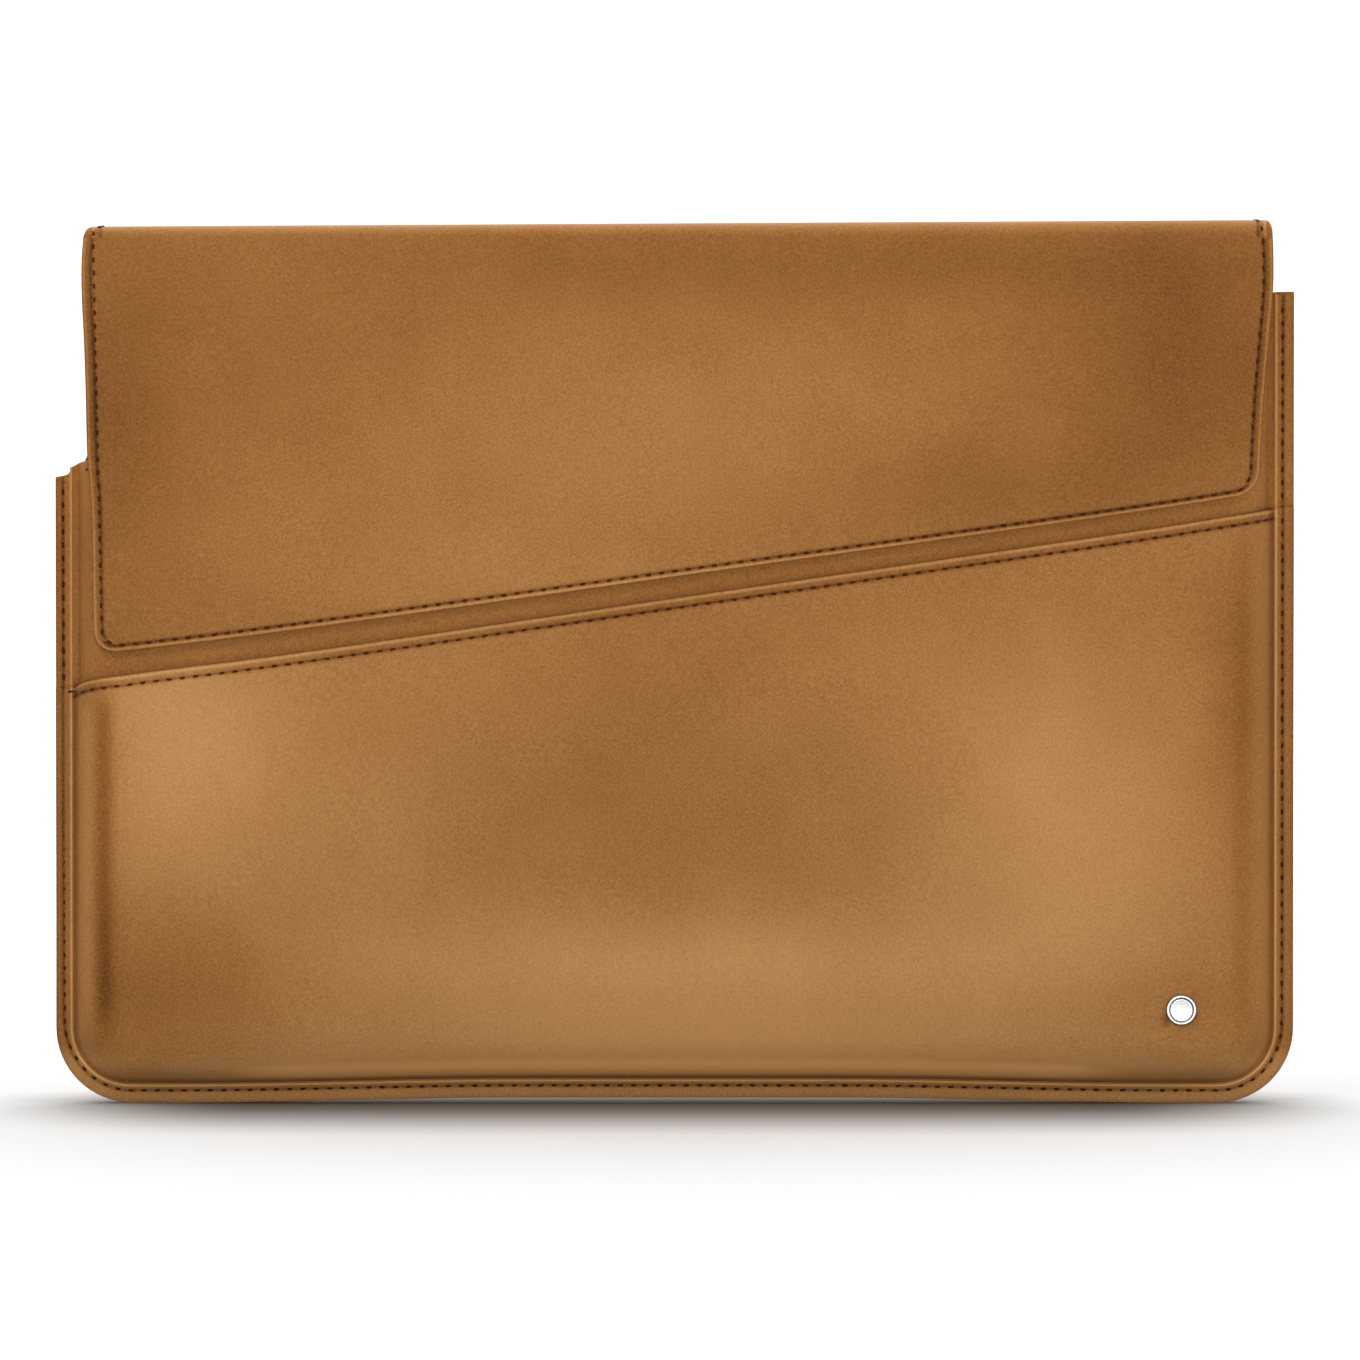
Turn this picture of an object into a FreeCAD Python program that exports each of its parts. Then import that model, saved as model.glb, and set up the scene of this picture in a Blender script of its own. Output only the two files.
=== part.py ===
"""Leather laptop sleeve: a sewn pouch, and a flap that continues over the top from the back.

Frame: +X to the sleeve's right as seen from the front, -Y to the front, +Z up.
The seam plane is Y = 0, the sleeve stands on Z = 0, and X = 0 is its middle.
Distances called depths are measured from the seam plane, to the front or to the back.
"""
import FreeCAD, Part
import os
import Sketcher

DOC = FreeCAD.newDocument("laptop_sleeve")
SHEET = DOC.addObject("Spreadsheet::Sheet", "Sizes")

# Driving dimensions in millimetres, angles in degrees.
SIZES = {
    "body_width": 374,            # over the sewn flanges
    "body_height": 266,           # standing height, to the thread on the spine
    "corner_radius": 24,          # lower corners of the outline
    "flange": 5.4,                # flat sewn margin round the pouch
    "cavity_half_depth": 8.6,     # half of the laptop compartment's thickness
    "cavity_roll": 5,             # radius where the compartment's walls meet its sides
    "lining": 0.5,
    "panel_leather": 1.1,         # inner front panel
    "shell_leather": 1.2,         # pocket panel and flap
    "back_leather": 1.3,
    "panel_padding": 1.3,
    "back_board": 1.0,
    "pocket_gap": 0.7,            # slack in the document pocket
    "pocket_lining": 0.3,
    "flap_gap": 0.6,              # between the closed flap and the inner panel
    "flap_lining": 0.3,
    "flap_board": 0.8,
    "flap_board_inset": 4,        # from the flap's edges to its board
    "flap_board_drop": 8,         # from the top of the flat flap down to its board, clear of the crease
    "back_roll": 12,              # radius of the back's rolled rim
    "padding_margin": 17.5,       # from the outline to the edge of boards and paddings
    "padding_top": 251,           # height of the back's board and padding, clear of the crease
    "mouth_mid": 217.5,           # height of the inner panel's top edge at X = 0
    "mouth_angle": 8.2,
    "pocket_mid": 153.1,          # height of the pocket's top edge at X = 0
    "pocket_angle": 8.28,
    "flap_mid": 159.4,            # height of the flap's lower edge at X = 0
    "flap_angle": 7.94,
    "flap_left_top": -179.5,
    "flap_right_top": 180.7,
    "flap_left_low": -175.5,
    "flap_right_low": 176.8,
    "flap_corner": 7,
    "flap_top": 262,              # where the flat flap and back end and the creases begin
    "spine_half": 10.3,           # half of the spine's flat width
    "thread_width": 0.6,
    "thread_height": 0.25,
    "mouth_thread_height": 0.2,
    "seam_inset": 3.0,            # outer edge to the perimeter stitch line
    "edge_inset": 2.3,            # free edges to their stitch lines
    "magnet_radius": 6,
    "magnet_spread": 110,         # magnets' distance from the middle
    "magnet_rise": 15,            # magnets' height above the flap's lower edge
    "keeper_thick": 1.0,
    "stud_across": 152.8,
    "stud_up": 28.7,
    "stud_radius": 4.65,
    "stud_round": 0.35,
    "post_radius": 1.2,
    "washer_radius": 4,
    "washer_hole_slack": 0.2,
    "panel_roll_step": 1.0,       # added to the lining's roll radius for the inside of the inner panel
    "board_corner": 6,            # lower corners of the back's board and padding
    "foam_corner": 8,             # lower corners of the inner panel's padding
    "foam_drop": 3,               # from the inner panel's top edge down to its padding
    "lining_edge_inset": 0.6,     # linings of the flap and spine, from the leather's edges
    "lining_side_inset": 4,       # the back's lining above the side seams, from the flap's width
    "seam_clearance": 0.1,        # linings off the seam plane, so that the two halves never touch
    "stitch_start": 2,            # from the mouth's edge up to the stitches of the back's free sides
    "stitch_gap": 0.5,            # left between the ends of two stitch lines
    "flap_stitch_drop": 1,        # from the top of the flat flap down to its stitches
    "overshoot": 1,               # how far cutting tools run past what they cut
    "core_overshoot": 5,          # the same, for the cores that open a tray's sloping top
}

FRONT, BACK = "front", "back"
TOUCH = 0.01   # millimetres within which two places count as the same


def fill_sheet():
    """Each size in its own row: its name in column A and its value, with an alias, in column B."""
    for row, (name, size) in enumerate(SIZES.items(), start=1):
        SHEET.set(f"A{row}", name)
        SHEET.set(f"B{row}", str(size))
        SHEET.setAlias(f"B{row}", name)
    DOC.recompute()


def cell(name):
    return f"Sizes.{name}"


def value(expression):
    return float(SHEET.evalExpression(expression))


def add(*terms):
    return "(" + " + ".join(terms) + ")"


def sub(first, *rest):
    return "(" + " - ".join((first,) + rest) + ")"


# Depths of the layers in front of the seam plane.
LINING_IN = cell("cavity_half_depth")
LINING_OUT = add(LINING_IN, cell("lining"))
PANEL_IN = add(LINING_OUT, cell("panel_padding"))
PANEL_OUT = add(PANEL_IN, cell("panel_leather"))
POCKET_LINING_IN = add(PANEL_OUT, cell("pocket_gap"))
POCKET_IN = add(POCKET_LINING_IN, cell("pocket_lining"))
POCKET_OUT = add(POCKET_IN, cell("shell_leather"))
FLAP_LINING_IN = add(PANEL_OUT, cell("flap_gap"))
FLAP_BOARD_IN = add(FLAP_LINING_IN, cell("flap_lining"))
FLAP_IN = add(FLAP_BOARD_IN, cell("flap_board"))
FLAP_OUT = add(FLAP_IN, cell("shell_leather"))
HALF_DEPTH = add(FLAP_OUT, cell("thread_height"))

# Depths behind it: the back's padding fills what the other layers leave.
BACK_OUT = HALF_DEPTH
BACK_IN = sub(BACK_OUT, cell("back_leather"))
BACK_BOARD_IN = sub(BACK_IN, cell("back_board"))

# Insets of the walls from the outline: pocket panel outermost, compartment innermost.
POCKET_INSET = cell("flange")
POCKET_LINING_INSET = add(POCKET_INSET, cell("shell_leather"))
PANEL_INSET = add(POCKET_LINING_INSET, cell("pocket_lining"))
LINING_INSET = add(PANEL_INSET, cell("panel_leather"))
CAVITY_INSET = add(LINING_INSET, cell("lining"))
BACK_INNER_INSET = add(POCKET_INSET, cell("back_leather"))

# Roll radii, chosen so that each rolled layer nests in the next one.
LINING_ROLL = add(cell("cavity_roll"), cell("lining"))
PANEL_IN_ROLL = add(LINING_ROLL, cell("panel_roll_step"))
PANEL_OUT_ROLL = add(PANEL_IN_ROLL, cell("panel_leather"))
POCKET_LINING_ROLL = add(PANEL_OUT_ROLL, cell("pocket_gap"))
POCKET_IN_ROLL = add(POCKET_LINING_ROLL, cell("pocket_lining"))
POCKET_OUT_ROLL = add(POCKET_IN_ROLL, cell("shell_leather"))
BACK_IN_ROLL = sub(cell("back_roll"), cell("back_leather"))

# The spine, between the two creases.
SPINE_TOP = sub(cell("body_height"), cell("thread_height"))
SPINE_UNDER = sub(SPINE_TOP, cell("back_leather"))


def slant(edge, across, inset="0"):
    """Height of a slanting edge, less an inset measured square to it."""
    angle = cell(f"{edge}_angle")
    return f"({cell(edge + '_mid')} + ({across}) * tan({angle}) - ({inset}) / cos({angle}))"


def side(inset, sign):
    """X of the outline's left (-1) or right (1) side, moved in by an inset."""
    return f"({sign}) * ({cell('body_width')} / 2 - ({inset}))"


def corners(inset, edge=None, top_inset="0", overshoot="0"):
    """Four corners of the outline moved in, up to a slanting edge or to the flap's crease."""
    left, right = side(inset, -1), side(inset, 1)
    if edge:
        tops = [slant(edge, across, top_inset) for across in (right, left)]
    else:
        tops = [cell("flap_top")] * 2
    high_right, high_left = [add(top, overshoot) for top in tops]
    return [(left, inset), (right, inset), (right, high_right), (left, high_left)]


def rectangle(left, right, low, high):
    return [(left, low), (right, low), (right, high), (left, high)]


def flap_corners(inset="0", top_drop="0"):
    """Four corners of the flap moved in from its sides and its slanting lower edge."""
    left_low = add(cell("flap_left_low"), inset)
    right_low = sub(cell("flap_right_low"), inset)
    low_inset = f"-({inset})"
    high = sub(cell("flap_top"), top_drop)
    return [
        (left_low, slant("flap", left_low, low_inset)),
        (right_low, slant("flap", right_low, low_inset)),
        (sub(cell("flap_right_top"), inset), high),
        (add(cell("flap_left_top"), inset), high),
    ]


def new_body(name):
    """A body that may hold separate solids."""
    body = DOC.addObject("PartDesign::Body", name)
    body.AllowCompound = True
    return body


def outline_sketch(body, name, points, offset):
    """A closed sketch parallel to XZ, its corners and its offset to the front bound to cells."""
    sketch = body.newObject("Sketcher::SketchObject", name)
    plane = next(item for item in body.Origin.OriginFeatures if item.Role == "XZ_Plane")
    sketch.AttachmentSupport = [(plane, "")]
    sketch.MapMode = "FlatFace"
    sketch.setExpression("AttachmentOffset.Base.z", offset)
    places = [FreeCAD.Vector(value(across), value(up), 0) for across, up in points]
    for here, after in zip(places, places[1:] + places[:1]):
        sketch.addGeometry(Part.LineSegment(here, after), False)
    for index in range(len(places)):
        after = (index + 1) % len(places)
        sketch.addConstraint(Sketcher.Constraint("Coincident", index, 2, after, 1))
    for index, (point, place) in enumerate(zip(points, places)):
        for axis, expression, number in zip("XY", point, place):
            row = sketch.addConstraint(Sketcher.Constraint(f"Distance{axis}", -1, 1, index, 1, number))
            sketch.renameConstraint(row, f"corner_{index}_{axis}")
            sketch.setExpression(f"Constraints.corner_{index}_{axis}", expression)
    return sketch


def pad(body, name, points, start, end, facing=FRONT):
    """Adds the outline's prism between two depths."""
    offset = start if facing == FRONT else f"-({start})"
    feature = body.newObject("PartDesign::Pad", name)
    feature.Profile = outline_sketch(body, name + "_sketch", points, offset)
    feature.setExpression("Length", sub(end, start))
    feature.Reversed = facing == BACK
    DOC.recompute()
    return feature


def pocket(body, name, points, start, end, facing=FRONT):
    """Cuts the outline's prism between two depths, and makes sure that it cut something."""
    before = body.Shape.Volume
    offset = start if facing == FRONT else f"-({start})"
    feature = body.newObject("PartDesign::Pocket", name)
    feature.Profile = outline_sketch(body, name + "_sketch", points, offset)
    feature.setExpression("Length", sub(end, start))
    feature.Reversed = facing == FRONT
    DOC.recompute()
    if body.Shape.Volume >= before:
        raise RuntimeError(f"{name} cut nothing")
    return feature


def fillet(body, name, radius, picks):
    """Rounds the edges of the body's last feature that the test picks."""
    base = body.Tip
    names = [f"Edge{index}" for index, edge in enumerate(base.Shape.Edges, start=1) if picks(edge)]
    if not names:
        raise RuntimeError(f"{name} found no edge")
    feature = body.newObject("PartDesign::Fillet", name)
    feature.Base = (base, names)
    feature.setExpression("Radius", radius)
    DOC.recompute()
    return feature


def near(first, second):
    """Whether two lengths are the same."""
    return abs(first - second) < TOUCH


def low_corners(points, end, facing=FRONT):
    """Picks the edges square to the outline at its two lower corners that reach a depth."""
    spots = [(value(across), value(up)) for across, up in points[:2]]
    sign = -1 if facing == FRONT else 1

    def picks(edge):
        box = edge.BoundBox
        square = box.XLength < TOUCH and box.ZLength < TOUCH
        far = max(sign * box.YMin, sign * box.YMax)
        at_corner = any(near(box.XMin, across) and near(box.ZMin, up) for across, up in spots)
        return square and near(far, value(end)) and at_corner

    return picks


def rim(points, depth, facing=FRONT):
    """Picks the outline's sides and bottom at one depth, and leaves its top edge."""
    sign = -1 if facing == FRONT else 1
    level = sign * value(depth)
    left, right = value(points[0][0]), value(points[1][0])
    low = value(points[0][1])
    reach = value(cell("corner_radius"))

    def picks(edge):
        box = edge.BoundBox
        flat = near(box.YMin, level) and near(box.YMax, level)
        upright = box.XLength < TOUCH and (near(box.XMin, left) or near(box.XMin, right))
        lower = box.ZMax < low + reach and box.ZMin > low - TOUCH
        return flat and (upright or lower)

    return picks


def inner_radius(inset):
    """Radius of the outline's lower corners once it is moved in."""
    return sub(cell("corner_radius"), inset)


def rolled_block(body, label, points, start, end, facing, inset, roll):
    """A block whose lower corners and outward rim are rounded."""
    pad(body, label + "_block", points, start, end, facing)
    fillet(body, label + "_corners", inner_radius(inset), low_corners(points, end, facing))
    fillet(body, label + "_roll", roll, rim(points, end, facing))


def hollow_out(name, solid, facing, start, inner, top):
    """Cuts the inside of a rolled tray; inner is (inset, depth, roll radius)."""
    inset, depth, roll = inner
    core = new_body(name + "_core")
    points = top(inset, cell("core_overshoot"))
    rolled_block(core, name + "_core", points, start, depth, facing, inset, roll)
    return cut(name + "_tray", solid, core)


def tray_blank(name, facing, start, outer, top):
    """The outside of a rolled tray without a flange; outer is (inset, depth, roll radius)."""
    inset, depth, roll = outer
    body = new_body(name + "_blank")
    rolled_block(body, name, top(inset, "0"), start, depth, facing, inset, roll)
    return body


def mouth_top(inset, overshoot):
    """The outline up to the inner panel's top edge."""
    return corners(inset, "mouth", "0", overshoot)


def pocket_top(inset, overshoot):
    """The outline up to the document pocket's top edge."""
    return corners(inset, "pocket", "0", overshoot)


def full_top(inset, overshoot):
    """The outline up to the creases."""
    return corners(inset, None, "0", overshoot)


def rim_trim(body, label, keep_left, keep_right):
    """Cuts the rolled sides away above the ends of the side seams, where only the back goes on."""
    reach = cell("body_width")
    past = cell("overshoot")
    high = add(cell("body_height"), past)
    sides = (
        ("left", f"-{reach}", keep_left, keep_left),
        ("right", keep_right, reach, keep_right),
    )
    for word, left, right, keep in sides:
        points = rectangle(left, right, slant("mouth", keep), high)
        pocket(body, f"{label}_{word}_trim", points, f"-{past}", add(BACK_OUT, past), BACK)


def flange_plate(name, outline, start, end, facing):
    """The flat sewn margin, as a full sheet that its block is joined to."""
    body = new_body(name + "_flange")
    pad(body, name + "_flange_sheet", outline, start, end, facing)
    fillet(body, name + "_flange_corners", cell("corner_radius"), low_corners(outline, end, facing))
    return body


def make_back_leather():
    """The back's leather tray, its rolled rim ending at the side seams' tops."""
    flange = flange_plate("back", mouth_top("0", "0"), "0", cell("back_leather"), BACK)
    block = new_body("back_blank")
    points = full_top(POCKET_INSET, "0")
    rolled_block(block, "back", points, "0", BACK_OUT, BACK, POCKET_INSET, cell("back_roll"))
    rim_trim(block, "back", cell("flap_left_top"), cell("flap_right_top"))
    inner = (BACK_INNER_INSET, BACK_IN, BACK_IN_ROLL)
    return hollow_out("back", join("back_solid", flange, block), BACK, "0", inner, full_top)


def make_inner_panel_leather():
    """The leather tray that closes the laptop compartment in front."""
    flange = flange_plate("panel", mouth_top("0", "0"), "0", cell("panel_leather"), FRONT)
    block = new_body("panel_blank")
    points = mouth_top(PANEL_INSET, "0")
    rolled_block(block, "panel", points, "0", PANEL_OUT, FRONT, PANEL_INSET, PANEL_OUT_ROLL)
    inner = (LINING_INSET, PANEL_IN, PANEL_IN_ROLL)
    return hollow_out("panel", join("panel_solid", flange, block), FRONT, "0", inner, mouth_top)


def make_pocket_panel_leather():
    """The outermost leather tray, in front of the document pocket."""
    start = cell("panel_leather")
    end = add(start, cell("shell_leather"))
    flange = flange_plate("pocket", pocket_top("0", "0"), start, end, FRONT)
    block = new_body("pocket_blank")
    points = pocket_top(POCKET_INSET, "0")
    rolled_block(block, "pocket", points, start, POCKET_OUT, FRONT, POCKET_INSET, POCKET_OUT_ROLL)
    inner = (POCKET_LINING_INSET, POCKET_IN, POCKET_IN_ROLL)
    return hollow_out("pocket", join("pocket_solid", flange, block), FRONT, start, inner, pocket_top)


def make_linings():
    """The thin cloth trays: behind, in front, and inside the document pocket."""
    clearance, narrower = cell("seam_clearance"), cell("lining_side_inset")
    cavity = (CAVITY_INSET, LINING_IN, cell("cavity_roll"))
    lining = (LINING_INSET, LINING_OUT, LINING_ROLL)
    back = tray_blank("back_lining", BACK, clearance, lining, full_top)
    keep_left, keep_right = add(cell("flap_left_top"), narrower), sub(cell("flap_right_top"), narrower)
    rim_trim(back, "back_lining", keep_left, keep_right)
    panel = tray_blank("inner_panel_lining", FRONT, clearance, lining, mouth_top)
    start = cell("panel_leather")
    outer = (POCKET_LINING_INSET, POCKET_IN, POCKET_IN_ROLL)
    inner = (PANEL_INSET, POCKET_LINING_IN, POCKET_LINING_ROLL)
    document = tray_blank("pocket_lining", FRONT, start, outer, pocket_top)
    return (
        hollow_out("back_lining", back, BACK, clearance, cavity, full_top),
        hollow_out("inner_panel_lining", panel, FRONT, clearance, cavity, mouth_top),
        hollow_out("pocket_lining", document, FRONT, start, inner, pocket_top),
    )


def make_plate(name, points, start, end, facing=FRONT, corner=None):
    """A flat sheet between two depths, with rounded lower corners."""
    body = new_body(name)
    pad(body, name + "_sheet", points, start, end, facing)
    if corner:
        fillet(body, name + "_corners", corner, low_corners(points, end, facing))
    return body


def make_band(name, outline, start, end, facing, radius, inset):
    """Thread laid along the two sides and the bottom of an outline, at an inset from it."""
    inset_in = add(inset, cell("thread_width"))
    past = add(cell("overshoot"), cell("overshoot"))
    outer = make_plate(name + "_outer", outline(inset, "0"), start, end, facing, sub(radius, inset))
    inner_points, inner_radius_there = outline(inset_in, past), sub(radius, inset_in)
    inner = make_plate(name + "_inner", inner_points, start, end, facing, inner_radius_there)
    return cut(name + "_band", outer, inner)


def make_disc(name, radius, thick, across, up, depth):
    """A round part whose axis runs to the front, starting at a depth in front of the seam plane."""
    disc = DOC.addObject("Part::Cylinder", name)
    disc.setExpression("Radius", radius)
    disc.setExpression("Height", thick)
    disc.Placement = FreeCAD.Placement(FreeCAD.Vector(), FreeCAD.Rotation(FreeCAD.Vector(1, 0, 0), 90))
    disc.setExpression("Placement.Base.x", across)
    disc.setExpression("Placement.Base.y", f"-({depth})")
    disc.setExpression("Placement.Base.z", up)
    DOC.recompute()
    return disc


def cut(name, base, tool):
    """One solid less another."""
    result = DOC.addObject("Part::Cut", name)
    result.Base = base
    result.Tool = tool
    DOC.recompute()
    return result


def join(name, first, second):
    """Two solids as one."""
    result = DOC.addObject("Part::Fuse", name)
    result.Base = first
    result.Tool = second
    DOC.recompute()
    return result


def group(name, pieces):
    """Separate solids of the same thread, kept as one sub-part."""
    result = DOC.addObject("Part::Compound", name)
    result.Links = pieces
    DOC.recompute()
    return result


def make_block(name, left, right, depth_back, depth_front, low, high):
    """A box, its depths given to the front of the seam plane."""
    block = DOC.addObject("Part::Box", name)
    block.setExpression("Length", sub(right, left))
    block.setExpression("Width", sub(depth_front, depth_back))
    block.setExpression("Height", sub(high, low))
    block.setExpression("Placement.Base.x", left)
    block.setExpression("Placement.Base.y", f"-({depth_front})")
    block.setExpression("Placement.Base.z", low)
    DOC.recompute()
    return block


def magnet_place(sign):
    """Across and up of the left (-1) or right (1) magnet, parallel to the flap's lower edge."""
    across = f"({sign}) * {cell('magnet_spread')}"
    return across, add(slant("flap", across), cell("magnet_rise"))


def make_flap():
    """The flap's leather, board and lining, their edge thread and their two magnets."""
    corner = cell("flap_corner")
    lining_points = flap_corners(cell("lining_edge_inset"))
    board_points = flap_corners(cell("flap_board_inset"), cell("flap_board_drop"))
    parts = {
        "flap_leather": make_plate("flap_leather", flap_corners(), FLAP_IN, FLAP_OUT, corner=corner),
        "flap_lining": make_plate("flap_lining", lining_points, FLAP_LINING_IN, FLAP_BOARD_IN,
                                  corner=corner),
    }
    board = make_plate("flap_board_blank", board_points, FLAP_BOARD_IN, FLAP_IN, corner=corner)
    for word, sign in (("left", -1), ("right", 1)):
        across, up = magnet_place(sign)
        radius = cell("magnet_radius")
        size = (radius, cell("flap_board"), across, up, FLAP_BOARD_IN)
        board = cut(f"flap_board_{word}_hole", board, make_disc(f"flap_{word}_hole_tool", *size))
        parts[f"flap_magnet_{word}"] = make_disc(f"flap_magnet_{word}", *size)
    parts["flap_board"] = board

    def outline(inset, overshoot):
        return flap_corners(inset, sub(cell("flap_stitch_drop"), overshoot))

    parts["flap_edge_thread"] = make_band(
        "flap_edge_thread", outline, FLAP_OUT, HALF_DEPTH, FRONT, corner, cell("edge_inset"))
    return parts


def make_spine():
    """The strip over the laptop's edge, between the two creases."""
    half = cell("spine_half")
    left, right = cell("flap_left_top"), cell("flap_right_top")
    front, back = half, f"-({half})"
    lining_low = sub(SPINE_UNDER, cell("lining"))
    lining_left = add(left, cell("lining_edge_inset"))
    lining_right = sub(right, cell("lining_edge_inset"))
    parts = {
        "spine_leather": make_block("spine_leather", left, right, back, front, SPINE_UNDER, SPINE_TOP),
        "spine_lining": make_block("spine_lining", lining_left, lining_right, back, front, lining_low,
                                   SPINE_UNDER),
    }
    inset, wide = cell("edge_inset"), cell("thread_width")
    ends = {
        "left": (add(left, inset), add(left, inset, wide)),
        "right": (sub(right, inset, wide), sub(right, inset)),
    }
    runs = [make_block(f"spine_{word}_run", low_x, high_x, back, front, SPINE_TOP, cell("body_height"))
            for word, (low_x, high_x) in ends.items()]
    parts["spine_edge_thread"] = group("spine_edge_thread", runs)
    return parts


def make_inner_panel_padding():
    """Foam behind the inner panel's leather, with a round seat for each keeper magnet."""
    margin = cell("padding_margin")
    points = corners(margin, "mouth", cell("foam_drop"))
    parts = {}
    foam = make_plate("panel_foam_blank", points, LINING_OUT, PANEL_IN, corner=cell("foam_corner"))
    seat_depth = sub(PANEL_IN, cell("keeper_thick"))
    for word, sign in (("left", -1), ("right", 1)):
        across, up = magnet_place(sign)
        size = (cell("magnet_radius"), cell("keeper_thick"), across, up, seat_depth)
        foam = cut(f"panel_foam_{word}_seat", foam, make_disc(f"keeper_{word}_seat_tool", *size))
        parts[f"keeper_magnet_{word}"] = make_disc(f"keeper_magnet_{word}", *size)
    parts["inner_panel_padding"] = foam
    return parts


def make_stud(leather, lining):
    """A plain round rivet stud: its cap, its post through the leather, and its washer behind."""
    place = (cell("stud_across"), cell("stud_up"))
    blank = make_disc("stud_blank", cell("stud_radius"), sub(HALF_DEPTH, POCKET_OUT), *place, POCKET_OUT)
    cap = DOC.addObject("Part::Fillet", "stud_cap")
    cap.Base = blank
    radius = value(cell("stud_round"))
    front = -value(HALF_DEPTH)
    cap.Edges = [(index, radius, radius) for index, edge in enumerate(blank.Shape.Edges, start=1)
                 if near(edge.BoundBox.YMin, front) and near(edge.BoundBox.YMax, front)]
    DOC.recompute()
    post_size = (cell("post_radius"), sub(POCKET_OUT, POCKET_LINING_IN), *place, POCKET_LINING_IN)
    washer_size = (cell("washer_radius"), cell("pocket_lining"), *place, POCKET_LINING_IN)
    seat_radius = add(cell("washer_radius"), cell("washer_hole_slack"))
    seat_size = (seat_radius,) + washer_size[1:]
    return {
        "stud_cap": cap,
        "stud_post": make_disc("stud_post", *post_size),
        "stud_washer": cut("stud_washer", make_disc("washer_blank", *washer_size),
                           make_disc("washer_hole_tool", *post_size)),
        "pocket_panel_leather": cut("pocket_leather_holed", leather,
                                    make_disc("post_hole_tool", *post_size)),
        "pocket_lining": cut("pocket_lining_holed", lining, make_disc("washer_seat_tool", *seat_size)),
    }


def make_edge_threads():
    """Straight runs along the pocket's and the mouth's slanting edges, on the flat of each panel."""
    parts = {}
    runs = (
        ("pocket", POCKET_OUT, cell("thread_height")),
        ("mouth", PANEL_OUT, cell("mouth_thread_height")),
    )
    for edge, depth, height in runs:
        left, right = side(cell("padding_margin"), -1), side(cell("padding_margin"), 1)
        near_edge, far_edge = cell("edge_inset"), add(cell("edge_inset"), cell("thread_width"))
        points = [(left, slant(edge, left, far_edge)), (right, slant(edge, right, far_edge)),
                  (right, slant(edge, right, near_edge)), (left, slant(edge, left, near_edge))]
        name = f"{edge}_edge_thread"
        parts[name] = make_plate(name, points, depth, add(depth, height))
    return parts


def make_back_edge_thread():
    """Stitching down the back's free sides, from the spine to the ends of the side seams."""
    radius = f"({cell('thread_width')} / 2)"
    roll_middle = sub(side(POCKET_INSET, 1), cell("back_roll"))
    runs = []
    for word, sign, edge in (("left", -1, cell("flap_left_top")), ("right", 1, cell("flap_right_top"))):
        across = sub(edge, f"({sign}) * {cell('edge_inset')}")
        out = sub(f"({sign}) * {across}", roll_middle)
        roll = cell("back_roll")
        depth = f"({BACK_OUT} - {roll} + sqrt(({roll} + {radius}) ^ 2 - {out} ^ 2))"
        low = add(slant("mouth", across), cell("stitch_start"))
        run = DOC.addObject("Part::Cylinder", f"back_{word}_run")
        run.setExpression("Radius", radius)
        run.setExpression("Height", sub(cell("flap_top"), low, cell("stitch_gap")))
        run.setExpression("Placement.Base.x", across)
        run.setExpression("Placement.Base.y", depth)
        run.setExpression("Placement.Base.z", low)
        runs.append(run)
    return group("back_edge_thread", runs)


def make_seam_threads():
    """The lockstitch round the pouch: needle thread on the front, bobbin thread on the back."""
    inset, wide, height = cell("seam_inset"), cell("thread_width"), cell("thread_height")
    radius = cell("corner_radius")
    panel_face, back_face = cell("panel_leather"), cell("back_leather")
    pocket_face = add(panel_face, cell("shell_leather"))
    needle_top = add(pocket_face, height)
    needle = make_band("seam_needle_lower", pocket_top, pocket_face, needle_top, FRONT, radius, inset)
    pieces = [needle]
    for word, sign in (("left", -1), ("right", 1)):
        outer, inner = side(inset, sign), side(add(inset, wide), sign)
        left, right = (outer, inner) if sign < 0 else (inner, outer)
        low = add(slant("pocket", right), cell("stitch_gap"))
        pieces.append(make_block(f"seam_needle_{word}", left, right, panel_face, add(panel_face, height),
                                 low, slant("mouth", left)))
    bobbin_top = add(back_face, height)
    bobbin = make_band("seam_bobbin", mouth_top, back_face, bobbin_top, BACK, radius, inset)
    return {"seam_needle_thread": group("seam_needle_thread", pieces), "seam_bobbin_thread": bobbin}


def make_pouch():
    """Back wall, inner front panel and pocket panel, with everything sewn into them."""
    margin, corner = cell("padding_margin"), cell("board_corner")
    flat = rectangle(side(margin, -1), side(margin, 1), margin, cell("padding_top"))
    back_lining, panel_lining, document_lining = make_linings()
    parts = {
        "back_leather": make_back_leather(),
        "back_board": make_plate("back_board", flat, BACK_BOARD_IN, BACK_IN, BACK, corner),
        "back_padding": make_plate("back_padding", flat, LINING_OUT, BACK_BOARD_IN, BACK, corner),
        "back_lining": back_lining,
        "inner_panel_leather": make_inner_panel_leather(),
        "inner_panel_lining": panel_lining,
    }
    parts.update(make_inner_panel_padding())
    parts.update(make_stud(make_pocket_panel_leather(), document_lining))
    parts.update(make_seam_threads())
    parts["back_edge_thread"] = make_back_edge_thread()
    parts.update(make_edge_threads())
    return parts


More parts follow.
